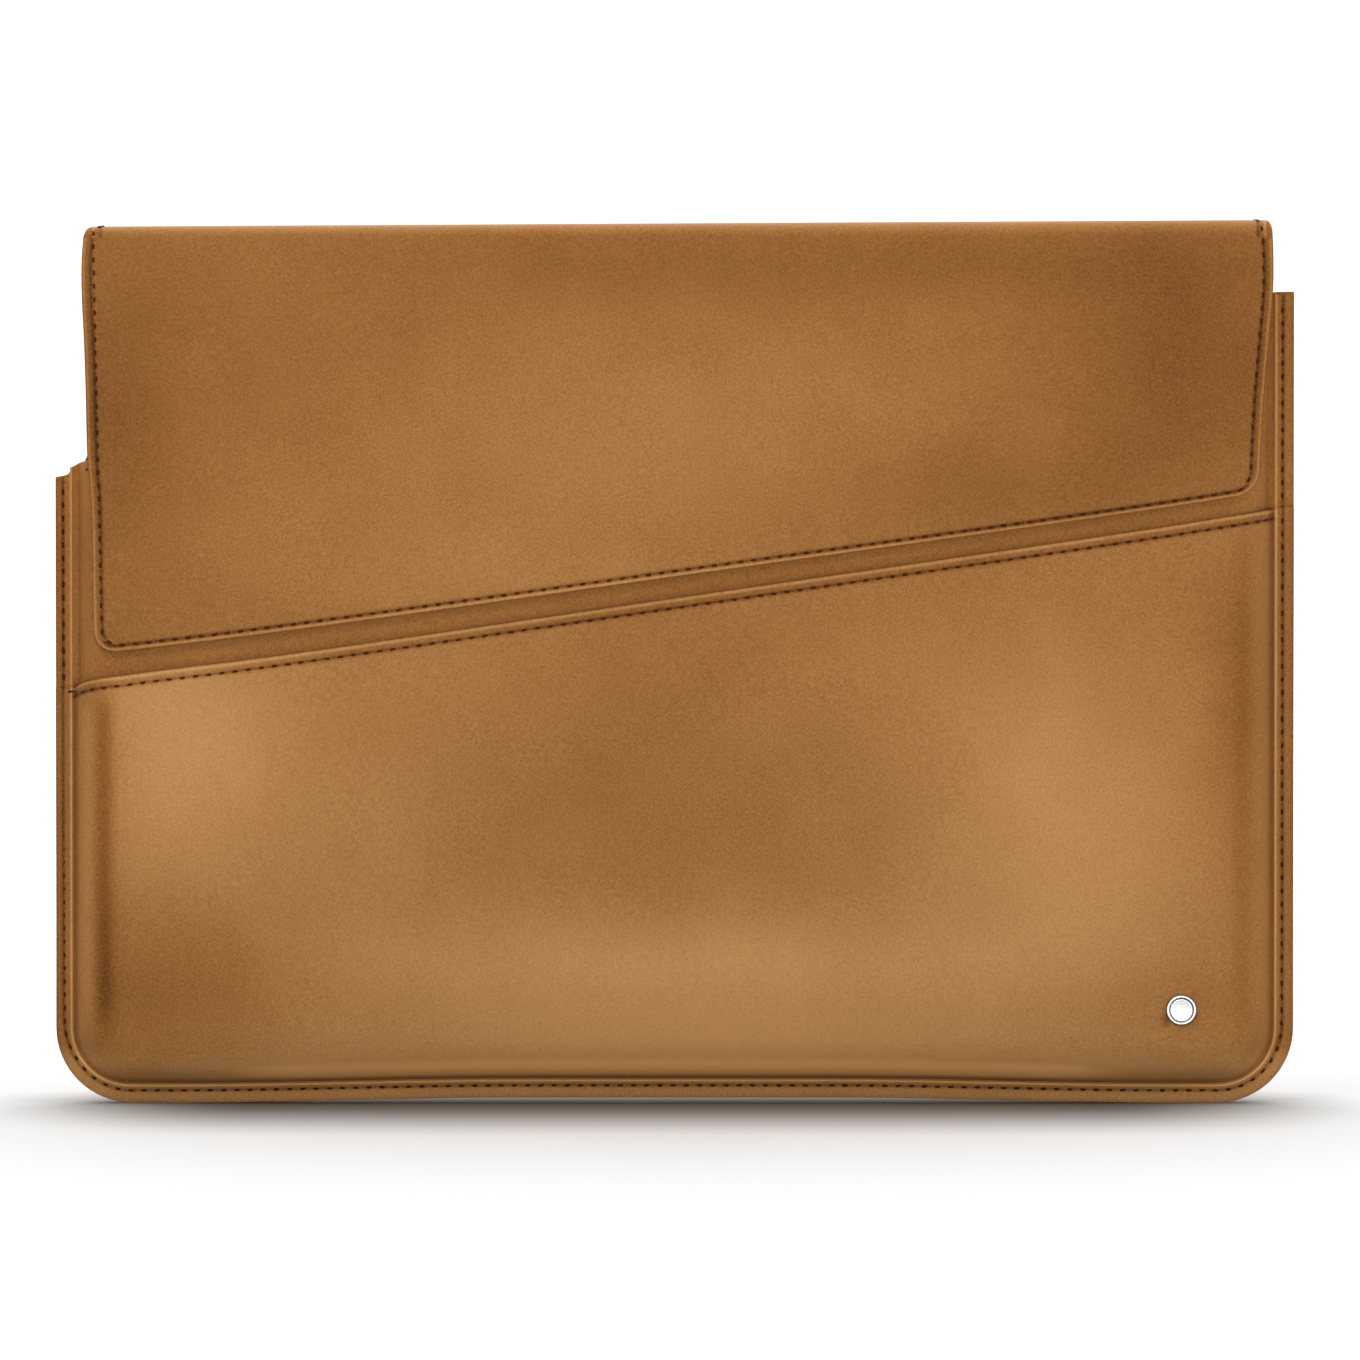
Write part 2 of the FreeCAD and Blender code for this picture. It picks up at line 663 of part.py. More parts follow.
def write_parts(parts):
    """Checks every object and every sub-part, then writes one STEP file for each sub-part."""
    DOC.recompute()
    for item in DOC.Objects:
        if {"Invalid", "Error"} & set(item.State):
            raise RuntimeError(f"{item.Name} failed: {item.State}")
    for name, item in parts.items():
        if item.Shape.isNull() or not item.Shape.isValid():
            raise RuntimeError(f"{name} has no valid shape")
    os.makedirs("parts", exist_ok=True)
    for name, item in sorted(parts.items()):
        item.Label = name
        item.Shape.exportStep(f"parts/{name}.step")
        box = item.Shape.BoundBox
        print(f"{name}: {len(item.Shape.Solids)} solids, {item.Shape.Volume:.0f} mm3, "
              f"X {box.XMin:.2f} {box.XMax:.2f}, Y {box.YMin:.2f} {box.YMax:.2f}, "
              f"Z {box.ZMin:.2f} {box.ZMax:.2f}")


fill_sheet()
PARTS = make_pouch()
PARTS.update(make_spine())
PARTS.update(make_flap())
write_parts(PARTS)
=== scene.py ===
"""Looks of the leather laptop sleeve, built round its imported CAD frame.

Shapes are worked out in millimetres in the frame's own axes: X across, -Y to the front, Z up.
"Inset" is a distance in from the sewn outline, "depth" a distance from the seam plane.
"""

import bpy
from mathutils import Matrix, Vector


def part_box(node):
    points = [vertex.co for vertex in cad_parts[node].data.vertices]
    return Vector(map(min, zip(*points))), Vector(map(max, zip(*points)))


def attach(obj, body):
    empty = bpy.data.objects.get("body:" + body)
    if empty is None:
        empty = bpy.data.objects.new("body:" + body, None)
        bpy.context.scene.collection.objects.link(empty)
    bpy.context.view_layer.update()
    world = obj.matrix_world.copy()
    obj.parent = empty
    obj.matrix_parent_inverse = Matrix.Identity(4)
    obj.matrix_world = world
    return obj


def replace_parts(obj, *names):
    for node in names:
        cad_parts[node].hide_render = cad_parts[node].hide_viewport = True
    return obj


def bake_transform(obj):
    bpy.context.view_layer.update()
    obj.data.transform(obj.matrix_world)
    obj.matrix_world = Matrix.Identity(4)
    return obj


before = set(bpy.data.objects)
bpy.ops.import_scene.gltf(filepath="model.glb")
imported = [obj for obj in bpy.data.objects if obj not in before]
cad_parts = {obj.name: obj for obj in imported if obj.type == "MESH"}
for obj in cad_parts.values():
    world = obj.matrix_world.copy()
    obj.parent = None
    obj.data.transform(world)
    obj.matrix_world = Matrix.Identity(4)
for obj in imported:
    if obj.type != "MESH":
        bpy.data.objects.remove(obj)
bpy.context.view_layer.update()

import math

import bmesh
import bpy
import numpy as np
from mathutils import Vector
from mathutils.bvhtree import BVHTree

MM = 0.001
RNG = np.random.default_rng(7)
FRONT, BACK = -1.0, 1.0


def node_box(node):
    """A CAD node's lowest and highest corner, in millimetres."""
    return [np.array(corner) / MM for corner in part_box(node)]


# ---- sizes, from the frame where it has them

HALF_WIDTH = float(node_box("back_leather")[1][0])
BACK_OUT = float(node_box("back_leather")[1][1])
PANEL_OUT = -float(node_box("inner_panel_leather")[0][1])
POCKET_OUT = -float(node_box("pocket_panel_leather")[0][1])
FLAP_OUT = -float(node_box("flap_leather")[0][1])
SPINE_TOP = float(node_box("spine_leather")[1][2])
CAVITY = float(node_box("back_lining")[1][1]) - 0.5
STUD = sum(node_box("stud_cap")) / 2

FLAP_STITCH = 1.75      # stitch lines' distances in: from the flap's lower edge
FLAP_SIDE_STITCH = 2.8  # from the flap's sides
SIDE_STITCH = 2.9       # from the hide's sides, over the back and the top
POCKET_STITCH = 3.1     # from the pocket's edge
MOUTH_STITCH = 2.6      # from the mouth's edge
CORNER = 22.8           # outline's lower corner radius, and the width of the modelled rim
FLAP_CORNER = 7.0
LEATHER = 1.2
LINING = 0.4
FLANGE_FACES = {"pocket": 2.3, "panel": 1.1, "back": 1.3}
LIP_INSET = 5.15        # where the thread pulls the flange into a pinched lip
LIP_SHIFT = 0.4         # how far the front leathers' lips sit to the left
WALL_INSET = 5.98       # foot of the rolled wall, and where the wall has become flat
FLAT_INSET = 18.0
ROLL_POWER = 1.75       # squareness of the rolled walls, 2 is a plain ellipse
CREASE_RADIUS = 4.15    # outer radius of the bends along the top
CREASE_Z = SPINE_TOP - CREASE_RADIUS
STITCH_PITCH = 4.0

# Slanting and bowed edges, as (X, Z) or (Z, X) points that a smooth curve runs through.
POCKET_EDGE = [
    (-187, 125.2), (-182, 125.7), (-178, 127.7), (-165, 129.9), (-131.5, 134.1), (0, 153.1),
    (147, 174.5), (180, 179.6), (187, 180.3),
]
MOUTH_EDGE = [
    (-187, 189.1), (-183, 190.3), (-181, 192.6), (-178, 194.0), (-165, 195.6), (0, 217.8),
    (168, 242.2), (177, 243.7), (182, 244.2), (187, 244.3),
]
FLAP_EDGE = [
    (-180, 135.6), (-165, 137.2), (-131.5, 141.2), (0, 159.4), (147, 180.0), (170, 183.6),
    (180, 185.4),
]
FLAP_LEFT = [
    (130, -174.9), (155, -175.3), (182, -175.8), (195, -176.8), (216, -177.3), (234, -177.9),
    (244, -178.4), (257, -178.4), (261.6, -178.0),
]
FLAP_RIGHT = [
    (180, 176.0), (192, 176.3), (213, 177.4), (232, 179.0), (246, 180.1), (257, 180.1),
    (261.6, 179.9),
]
BACK_LEFT = [(185, -175.4), (215, -176.4), (250, -177.7), (261.6, -178.0)]
BACK_RIGHT = [(240, 178.0), (250, 179.2), (261.6, 179.9)]
SPINE_LEFT, SPINE_RIGHT = -175.6, 178.3

GRID_STEP = 2.6         # spacing of the modelled surfaces' columns
TRAY_ROWS = 46
BEND_ROWS = 11
CORNER_ROWS = 17


def smooth_curve(points):
    """A function through the points, with a slope at each that keeps the curve smooth."""
    xs, ys = np.array(points, float).T
    chords = np.diff(ys) / np.diff(xs)
    slopes = np.concatenate([[chords[0]], (chords[:-1] + chords[1:]) / 2, [chords[-1]]])

    def curve(at):
        at = np.clip(np.asarray(at, float), xs[0], xs[-1])
        k = np.clip(np.searchsorted(xs, at) - 1, 0, len(xs) - 2)
        span = xs[k + 1] - xs[k]
        t = (at - xs[k]) / span
        a = (1 + 2 * t) * (1 - t) ** 2 * ys[k] + t * (1 - t) ** 2 * span * slopes[k]
        return a + t * t * (3 - 2 * t) * ys[k + 1] + t * t * (t - 1) * span * slopes[k + 1]

    return curve


pocket_edge = smooth_curve(POCKET_EDGE)
mouth_edge = smooth_curve(MOUTH_EDGE)
flap_edge = smooth_curve(FLAP_EDGE)
flap_left, flap_right = smooth_curve(FLAP_LEFT), smooth_curve(FLAP_RIGHT)
back_left, back_right = smooth_curve(BACK_LEFT), smooth_curve(BACK_RIGHT)


def smoothstep(low, high, at):
    t = np.clip((np.asarray(at, float) - low) / (high - low), 0, 1)
    return t * t * (3 - 2 * t)


def bell(distance, width):
    """1 at the line that the distance is measured from, falling off softly to both sides."""
    return np.exp(-(distance / width) ** 2)


def outline_inset(x, z, shift=0.0):
    """Distance in from the U-shaped outline: sides, bottom and rounded lower corners."""
    across = HALF_WIDTH - np.abs(x + shift)
    corner = CORNER - np.hypot(np.minimum(across - CORNER, 0), np.minimum(z - CORNER, 0))
    return np.where((across < CORNER) & (z < CORNER), corner, np.minimum(across, z))


# ---- profiles across the rim: (inset, depth)

FLANGE_INSETS = [0, 0.5, 1.0, 1.5, 2.0, 2.4, 2.8, 3.2, 3.6, 4.0, 4.3, 4.6]


def roll(start, end, low, high, steps):
    """Inset and depth along a rolled wall, from the flange's level out to the flat of the panel."""
    angles = np.linspace(0, math.pi / 2, steps + 1)
    reach = (end - start) * np.cos(angles) ** (2 / ROLL_POWER)
    rise = (high - low) * np.sin(angles) ** (2 / ROLL_POWER)
    return [(end - far, low + up) for far, up in zip(reach, rise)]


# Points of the pinched lip: how far past its own line, and what share of its height.
LIP_PROFILE = [(-0.3, 0.7), (-0.12, 0.97), (0.06, 1), (0.24, 0.85), (0.42, 0.35)]


def rim_profile(face, wall, flat, out, lip=0.5):
    """Flange, pinched lip and rolled wall of one leather."""
    levels = [(inset, face) for inset in FLANGE_INSETS]
    levels += [(LIP_INSET + past, face + lip * share)
               for past, share in LIP_PROFILE]
    levels.append((LIP_INSET + 0.62, face + 0.02))
    levels += roll(wall, flat, face, out, 15)
    levels += [(inset, out) for inset in (flat + 1.8, flat + 3.8) if inset < CORNER - 1]
    return levels + [(CORNER, out)]


# ---- grids of points


def spaced(low, high, step):
    return np.linspace(low, high, max(2, int(round((high - low) / step)) + 1))


# Rows of points close together just under a top edge, as distances from it.
EDGE_BAND = np.array([0, 0.3, 0.6, 1.0, 1.4, 1.8, 2.1, 2.4, 2.7, 3.1, 3.6, 4.3, 5.3, 6.6])


def rows_up_to(low, high):
    """Heights from low to high: even rows, then the close rows just under the top."""
    even = low + (high - EDGE_BAND[-1] - low) * np.linspace(0, 1, TRAY_ROWS)[:, None]
    return np.concatenate([even[:-1], high - EDGE_BAND[::-1][:, None]], axis=0)


def tray_patches(levels, top, facing, half=HALF_WIDTH, radius=CORNER):
    """Patches of points of a tray: two sides, bottom, two corners, and the field inside its rim."""
    insets, depths = np.array(levels).T
    inner = half - radius
    columns = spaced(-inner, inner, GRID_STEP)
    turns = np.linspace(0, math.pi / 2, CORNER_ROWS)[:, None]
    patches = []

    def patch(x, depth, z):
        patches.append(np.stack(np.broadcast_arrays(x, facing * depth, z), axis=-1))

    for sign in (-1, 1):
        x = sign * (half - insets)
        patch(x, depths, rows_up_to(radius, top(x)))
        across = sign * (inner + (radius - insets) * np.cos(turns))
        patch(across, depths, radius - (radius - insets) * np.sin(turns))
    patch(columns, depths[:, None], insets[:, None])
    patch(columns, depths[-1], rows_up_to(radius, top(columns)))
    return patches


# ---- making meshes


def mesh_from(work, name):
    mesh = bpy.data.meshes.new(name)
    work.to_mesh(mesh)
    work.free()
    return mesh


def mesh_object(name, mesh):
    piece = bpy.data.objects.new(name, mesh)
    bpy.context.scene.collection.objects.link(piece)
    return piece


def surface_object(name, patches, outward):
    """One open surface from grids of points that share their edges, facing outward(face centre)."""
    work = bmesh.new()
    for points in patches:
        rows, columns = points.shape[:2]
        verts = [[work.verts.new(Vector(points[i, j]) * MM) for j in range(columns)]
                 for i in range(rows)]
        for near, far in zip(verts, verts[1:]):
            for j in range(columns - 1):
                work.faces.new((near[j], near[j + 1], far[j + 1], far[j]))
    bmesh.ops.remove_doubles(work, verts=work.verts, dist=2e-6)
    bmesh.ops.dissolve_degenerate(work, edges=work.edges, dist=1e-7)
    bmesh.ops.recalc_face_normals(work, faces=work.faces)
    agree = sum(face.calc_area() * face.normal.dot(outward(face.calc_center_median()))
                for face in work.faces)
    if agree < 0:
        bmesh.ops.reverse_faces(work, faces=work.faces)
    return mesh_object(name, mesh_from(work, name))


def to_the_front(centre):
    return Vector((0, FRONT, 0))


def over_the_top(centre):
    """Outward on the hide: back, up or front, whichever way the surface lies."""
    up = centre.z - (CREASE_Z - CREASE_RADIUS) * MM if centre.z > CREASE_Z * MM else 0
    return Vector((0, centre.y, up))


def vertex_array(mesh):
    flat = np.empty(len(mesh.vertices) * 3)
    mesh.vertices.foreach_get("co", flat)
    return flat.reshape(-1, 3)


def displace(piece, amount):
    """Moves each vertex along its normal by amount(x, y, z), all in millimetres."""
    mesh = piece.data
    points = vertex_array(mesh)
    normals = np.array([vertex.normal[:] for vertex in mesh.vertices])
    moved = points + normals * (amount(*(points / MM).T) * MM)[:, None]
    mesh.vertices.foreach_set("co", moved.ravel())
    mesh.update()


def apply_modifiers(piece):
    graph = bpy.context.evaluated_depsgraph_get()
    final = bpy.data.meshes.new_from_object(piece.evaluated_get(graph))
    final.name = piece.name
    piece.modifiers.clear()
    piece.data = final


def round_edges(piece, width, segments):
    """Rounds the sharp edges of a piece, and applies all of its modifiers."""
    rounding = piece.modifiers.new("edges", "BEVEL")
    rounding.width = width * MM
    rounding.segments = segments
    rounding.limit_method = "ANGLE"
    rounding.angle_limit = math.radians(50)
    apply_modifiers(piece)


def thicken(piece, thickness, edge):
    """Gives an open surface its thickness inwards, and rounds its cut edges."""
    solid = piece.modifiers.new("thickness", "SOLIDIFY")
    solid.thickness = thickness * MM
    solid.offset = -1
    solid.use_even_offset = True
    round_edges(piece, edge, 3)


def finish_piece(piece, material, tone=None):
    """Smooth shading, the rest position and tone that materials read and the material."""
    mesh = piece.data
    mesh.polygons.foreach_set("use_smooth", [True] * len(mesh.polygons))
    mesh.set_sharp_from_angle(angle=math.radians(42))
    points = vertex_array(mesh)
    rest = mesh.attributes.new("rest", "FLOAT_VECTOR", "POINT")
    rest.data.foreach_set("vector", points.ravel())
    shade = mesh.attributes.new("tone", "FLOAT", "POINT")
    values = np.zeros(len(points)) if tone is None else tone(*(points / MM).T)
    shade.data.foreach_set("value", values.astype(np.float32))
    mesh.materials.clear()
    mesh.materials.append(material)
    return piece


# ---- the leather's soft unevenness

# Soft swells and dents of the front: (X, Z, reach across, reach up, height).
POCKET_SWELLS = [
    (-150, 105, 34, 40, 1.1), (-95, 88, 40, 36, -0.9), (40, 95, 70, 40, -0.5),
    (120, 80, 42, 44, 0.7), (10, 38, 120, 16, 1.0), (0, 15, 150, 7, -0.9),
    (-140, 42, 30, 18, -0.8), (160, 52, 14, 34, 0.5), (70, 140, 60, 22, 0.4),
    (-40, 125, 46, 20, 0.5),
]
FLAP_SWELLS = [
    (60, 205, 60, 22, 1.0), (-60, 190, 46, 26, -0.5), (-20, 172, 50, 14, 0.7),
    (-140, 165, 26, 26, 0.6), (-140, 225, 30, 26, -0.7), (150, 215, 28, 22, -0.8),
    (0, 245, 120, 12, -0.5), (-100, 240, 30, 10, 0.3),
]
BACK_SWELLS = [
    (-70, 150, 60, 60, 0.8), (70, 90, 60, 50, -0.6), (60, 200, 70, 40, 0.6),
    (-60, 60, 70, 40, -0.5),
]


def swells(table, x, z):
    total = np.zeros_like(x)
    for cx, cz, wide, high, height in table:
        total += height * np.exp(-((x - cx) / wide) ** 2 - ((z - cz) / high) ** 2)
    return total


def stitch_inset(x, z):
    """The perimeter stitch line wanders: nearer the edge on the left, further in at the bottom."""
    low = smoothstep(30, 8, z)
    side = np.where(x < 0, 2.2, 3.4)
    return side * (1 - low) + 3.7 * low


def side_stitch(z):
    """How far in from the flap's sides its stitches run, closer at the foot of the flap."""
    return float(2.5 + 0.5 * smoothstep(150, 235, z))


def stitch_groove(distance):
    return -0.28 * bell(distance, 0.55)


def from_stud(x, z):
    return np.hypot(x - STUD[0], z - STUD[2])


def pocket_relief(x, y, z):
    inset = outline_inset(x, z)
    under = pocket_edge(x) - z
    soft = smoothstep(6, 22, inset) * smoothstep(-2, 16, under)
    clear_of_stud = smoothstep(6, 22, from_stud(x, z))
    seam = stitch_groove(inset - stitch_inset(x, z)) * (inset < LIP_INSET)
    hem = stitch_groove(under - POCKET_STITCH) * (inset > LIP_INSET)
    dimple = -0.2 * bell(from_stud(x, z) - 5.0, 1.2)
    return soft * clear_of_stud * swells(POCKET_SWELLS, x, z) + seam + hem + dimple


def panel_relief(x, y, z):
    inset = outline_inset(x, z)
    seam = stitch_groove(inset - stitch_inset(x, z)) * (inset < LIP_INSET)
    return seam + stitch_groove(mouth_edge(x) - z - MOUTH_STITCH) * (inset > CORNER - 6)


def back_relief(x, y, z):
    inset = outline_inset(x, z)
    soft = smoothstep(6, 24, inset) * smoothstep(CREASE_Z, CREASE_Z - 30, z)
    seam = stitch_groove(inset - stitch_inset(x, z)) * (inset < LIP_INSET)
    seam = seam * (z < mouth_edge(x) + 1)
    free = (z > mouth_edge(x)) * stitch_groove(hide_side_distance(x, z) - SIDE_STITCH)
    return soft * swells(BACK_SWELLS, x, z) + seam + free


def hide_side_distance(x, z):
    """Distance in from the hide's free sides, over the top and down the flap."""
    left = np.where(z > CREASE_Z, SPINE_LEFT, flap_left(z))
    right = np.where(z > CREASE_Z, SPINE_RIGHT, flap_right(z))
    return np.minimum(x - left, right - x)


def flap_edge_distance(x, z):
    """Distance in from the flap's outline, round its lower corners, and from its side and edge."""
    side = hide_side_distance(x, z)
    up = np.where(z < CREASE_Z, z - flap_edge(x), 99)
    turn = FLAP_CORNER - np.hypot(FLAP_CORNER - side, FLAP_CORNER - up)
    return np.where((side < FLAP_CORNER) & (up < FLAP_CORNER), turn, np.minimum(side, up)), side, up


def flap_relief(x, y, z):
    edge, side, up = flap_edge_distance(x, z)
    soft = smoothstep(3, 18, edge) * smoothstep(CREASE_Z, CREASE_Z - 14, z)
    groove = stitch_groove(edge - np.where(up < side, FLAP_STITCH, FLAP_SIDE_STITCH))
    return soft * swells(FLAP_SWELLS, x, z) + groove


def arch(x, z):
    """The sleeve stands on its two lower corners: between them its bottom edge rises a little."""
    return 1.5 * smoothstep(150, 45, np.abs(x)) * smoothstep(70, 6, z)


def lean(x, z):
    """The top edge stands slightly higher on the right, as the sleeve leans in its own softness."""
    return 1.05 * (x / HALF_WIDTH) * smoothstep(200, CREASE_Z, z)


def lift(piece, rise):
    """Raises each vertex by rise(x, z), in millimetres."""
    points = vertex_array(piece.data)
    points[:, 2] += rise(points[:, 0] / MM, points[:, 2] / MM) * MM
    piece.data.vertices.foreach_set("co", points.ravel())
    piece.data.update()


def finish_leather(piece, material, tone=None):
    finish_piece(piece, material, tone)
    lift(piece, arch)
    return piece


# ---- materials


def socket_math(tree, kind, first, second):
    node = tree.nodes.new("ShaderNodeMath")
    node.operation = kind
    for index, term in enumerate((first, second)):
        if isinstance(term, (int, float)):
            node.inputs[index].default_value = term
        else:
            tree.links.new(term, node.inputs[index])
    return node.outputs[0]


def noise_field(tree, vector, scale, detail=3.0, rough=0.55, distort=0.0):
    node = tree.nodes.new("ShaderNodeTexNoise")
    node.inputs["Scale"].default_value = scale
    node.inputs["Detail"].default_value = detail
    node.inputs["Roughness"].default_value = rough
    node.inputs["Distortion"].default_value = distort
    tree.links.new(vector, node.inputs["Vector"])
    return node.outputs["Fac"]


def spread(tree, value, low, high, to_low, to_high):
    node = tree.nodes.new("ShaderNodeMapRange")
    node.interpolation_type = "SMOOTHSTEP"
    for name, number in (("From Min", low), ("From Max", high),
                         ("To Min", to_low), ("To Max", to_high)):
        node.inputs[name].default_value = number
    tree.links.new(value, node.inputs["Value"])
    return node.outputs["Result"]


def mix_colour(tree, amount, first, second, blend="MIX"):
    node = tree.nodes.new("ShaderNodeMix")
    node.data_type = "RGBA"
    node.blend_type = blend
    for name, term in (("Factor", amount), ("A", first), ("B", second)):
        socket = next(s for s in node.inputs if s.name == name and s.enabled)
        if isinstance(term, (int, float)):
            socket.default_value = term
        elif isinstance(term, tuple):
            socket.default_value = (*term, 1.0)
        else:
            tree.links.new(term, socket)
    return next(s for s in node.outputs if s.enabled)


def bump(tree, height, distance, strength, below=None):
    node = tree.nodes.new("ShaderNodeBump")
    node.inputs["Distance"].default_value = distance
    node.inputs["Strength"].default_value = strength
    tree.links.new(height, node.inputs["Height"])
    if below:
        tree.links.new(below, node.inputs["Normal"])
    return node.outputs["Normal"]


def new_material(name, roughness, specular=0.5, metallic=0.0, sheen=0.0):
    material = bpy.data.materials.new(name)
    material.use_nodes = True
    tree = material.node_tree
    shader = tree.nodes["Principled BSDF"]
    shader.inputs["Roughness"].default_value = roughness
    shader.inputs["Specular IOR Level"].default_value = specular
    shader.inputs["Metallic"].default_value = metallic
    shader.inputs["Sheen Weight"].default_value = sheen
    shader.inputs["Sheen Roughness"].default_value = 0.45
    return material, tree, shader


def attribute(tree, name, output="Vector"):
    node = tree.nodes.new("ShaderNodeAttribute")
    node.attribute_name = name
    return node.outputs[output]


def dress(tree, shader, colour, normal):
    tree.links.new(colour, shader.inputs["Base Color"])
    tree.links.new(normal, shader.inputs["Normal"])


def ramp(tree, value, stops):
    """A colour ramp with linear steps between (position, colour) stops."""
    node = tree.nodes.new("ShaderNodeValToRGB")
    while len(node.color_ramp.elements) < len(stops):
        node.color_ramp.elements.new(0.5)
    for element, (position, colour) in zip(node.color_ramp.elements, stops):
        element.position = position
        element.color = (*colour, 1.0)
    tree.links.new(value, node.inputs["Fac"])
    return node.outputs["Color"]


def leather_material(name, light, mid, dark, deep, roughness):
    """Smooth dyed leather: cloudy dye, fine grain with pores, darker where the tone is low and
    brighter where it is high; the tone carries painted light and shade.
    """
    material, tree, shader = new_material(name, roughness, specular=0.17)
    shader.inputs["Specular Tint"].default_value = (1.0, 0.80, 0.58, 1.0)
    vector, tone = attribute(tree, "rest"), attribute(tree, "tone", "Fac")
    clouds = noise_field(tree, vector, 11, 2, 0.4, 0.3)
    patches = noise_field(tree, vector, 50, 2, 0.4)
    grain = noise_field(tree, vector, 1350, 3, 0.62, 0.3)
    speckle = noise_field(tree, vector, 2300, 2, 0.5)
    value = socket_math(tree, "ADD", spread(tree, clouds, 0.25, 0.75, 0.465, 0.535), tone)
    for field, edge, reach in ((patches, 0.25, 0.02), (grain, 0.3, 0.075), (speckle, 0.3, 0.06)):
        value = socket_math(tree, "ADD", value, spread(tree, field, edge, 1 - edge, -reach, reach))
    pale = tuple(channel * 1.2 for channel in light)
    colour = ramp(tree, value, [(0.0, deep), (0.25, dark), (0.5, mid), (0.8, light), (1.0, pale)])
    # Where the tone is high the colour is multiplied up past its palest: painted light.
    lit = spread(tree, tone, 0.45, 0.8, 1.0, 1.7)
    pores = tree.nodes.new("ShaderNodeTexVoronoi")
    pores.feature = "DISTANCE_TO_EDGE"
    pores.inputs["Scale"].default_value = 950
    tree.links.new(vector, pores.inputs["Vector"])
    creases = spread(tree, pores.outputs["Distance"], 0.0, 0.22, 0.0, 1.0)
    shine = spread(tree, grain, 0.3, 0.7, roughness - 0.04, roughness + 0.07)
    tree.links.new(shine, shader.inputs["Roughness"])
    normal = bump(tree, patches, 0.0004, 0.2)
    normal = bump(tree, grain, 0.0001, 0.5, normal)
    normal = bump(tree, creases, 0.00005, 0.45, normal)
    dress(tree, shader, mix_colour(tree, 1.0, colour, lit, "MULTIPLY"), normal)
    return material


def suede_material(name, light, dark):
    """Microsuede lining: short brushed nap with a soft sheen."""
    material, tree, shader = new_material(name, 0.92, specular=0.06, sheen=0.10)
    vector = attribute(tree, "rest")
    brushed = noise_field(tree, vector, 45, 4, 0.6, 0.8)
    nap = noise_field(tree, vector, 1500, 3, 0.7)
    value = socket_math(tree, "ADD", spread(tree, brushed, 0.25, 0.75, 0.3, 0.7),
                        spread(tree, nap, 0.3, 0.7, -0.3, 0.3))
    dress(tree, shader, mix_colour(tree, value, dark, light), bump(tree, nap, 0.0001, 0.6))
    return material


def thread_material(name, light, dark):
    """Waxed twisted thread: fine slanting plies across the stitch."""
    material, tree, shader = new_material(name, 0.6, specular=0.12)
    vector = attribute(tree, "rest")
    plies = tree.nodes.new("ShaderNodeTexWave")
    plies.wave_type = "BANDS"
    plies.bands_direction = "DIAGONAL"
    plies.inputs["Scale"].default_value = 900
    plies.inputs["Distortion"].default_value = 1.5
    tree.links.new(vector, plies.inputs["Vector"])
    twist = plies.outputs["Fac"]
    value = socket_math(tree, "MULTIPLY", twist, noise_field(tree, vector, 1500, 2))
    colour = mix_colour(tree, spread(tree, value, 0.1, 0.6, 0, 1), dark, light)
    dress(tree, shader, colour, bump(tree, twist, 0.00012, 0.7))
    return material


def steel_material(name, colour, roughness):
    """Polished metal with faint wiping marks and a hint of smudge."""
    material, tree, shader = new_material(name, roughness, metallic=1.0)
    coordinates = tree.nodes.new("ShaderNodeTexCoord").outputs["Object"]
    stretch = tree.nodes.new("ShaderNodeMapping")
    stretch.inputs["Scale"].default_value = (1.0, 1.0, 14.0)
    tree.links.new(coordinates, stretch.inputs["Vector"])
    marks = noise_field(tree, stretch.outputs["Vector"], 260, 3, 0.6)
    smudge = noise_field(tree, coordinates, 150, 2, 0.5)
    shine = spread(tree, marks, 0.3, 0.75, roughness * 0.6, roughness * 1.9)
    tree.links.new(shine, shader.inputs["Roughness"])
    shade = tuple(channel * 0.9 for channel in colour)
    plain = mix_colour(tree, spread(tree, smudge, 0.35, 0.7, 0, 1), colour, shade)
    # Where the tone is low the metal turns near black: painted shade and dark reflection.
    deep = spread(tree, attribute(tree, "tone", "Fac"), -1, 0, 1, 0)
    dress(tree, shader, mix_colour(tree, deep, plain, (0.03, 0.03, 0.032)),
          bump(tree, marks, 0.00002, 0.25))
    return material


def board_material(name, light, dark):
    """Fibreboard: pressed fibres and flecks."""
    material, tree, shader = new_material(name, 0.85, specular=0.25)
    coordinates = tree.nodes.new("ShaderNodeTexCoord").outputs["Object"]
    fibres = noise_field(tree, coordinates, 700, 5, 0.7, 1.5)
    value = socket_math(tree, "MULTIPLY", fibres, noise_field(tree, coordinates, 120, 3, 0.6))
    colour = mix_colour(tree, spread(tree, value, 0.15, 0.4, 0, 1), dark, light)
    dress(tree, shader, colour, bump(tree, fibres, 0.0001, 0.5))
    return material


def foam_material(name, light, dark):
    """Closed-cell foam: small round cells."""
    material, tree, shader = new_material(name, 0.9, specular=0.2)
    cells = tree.nodes.new("ShaderNodeTexVoronoi")
    cells.inputs["Scale"].default_value = 1300
    tree.links.new(attribute(tree, "rest"), cells.inputs["Vector"])
    distance = cells.outputs["Distance"]
    colour = mix_colour(tree, spread(tree, distance, 0.1, 0.7, 0, 1), dark, light)
    dress(tree, shader, colour, bump(tree, distance, 0.0002, 0.6))
    return material


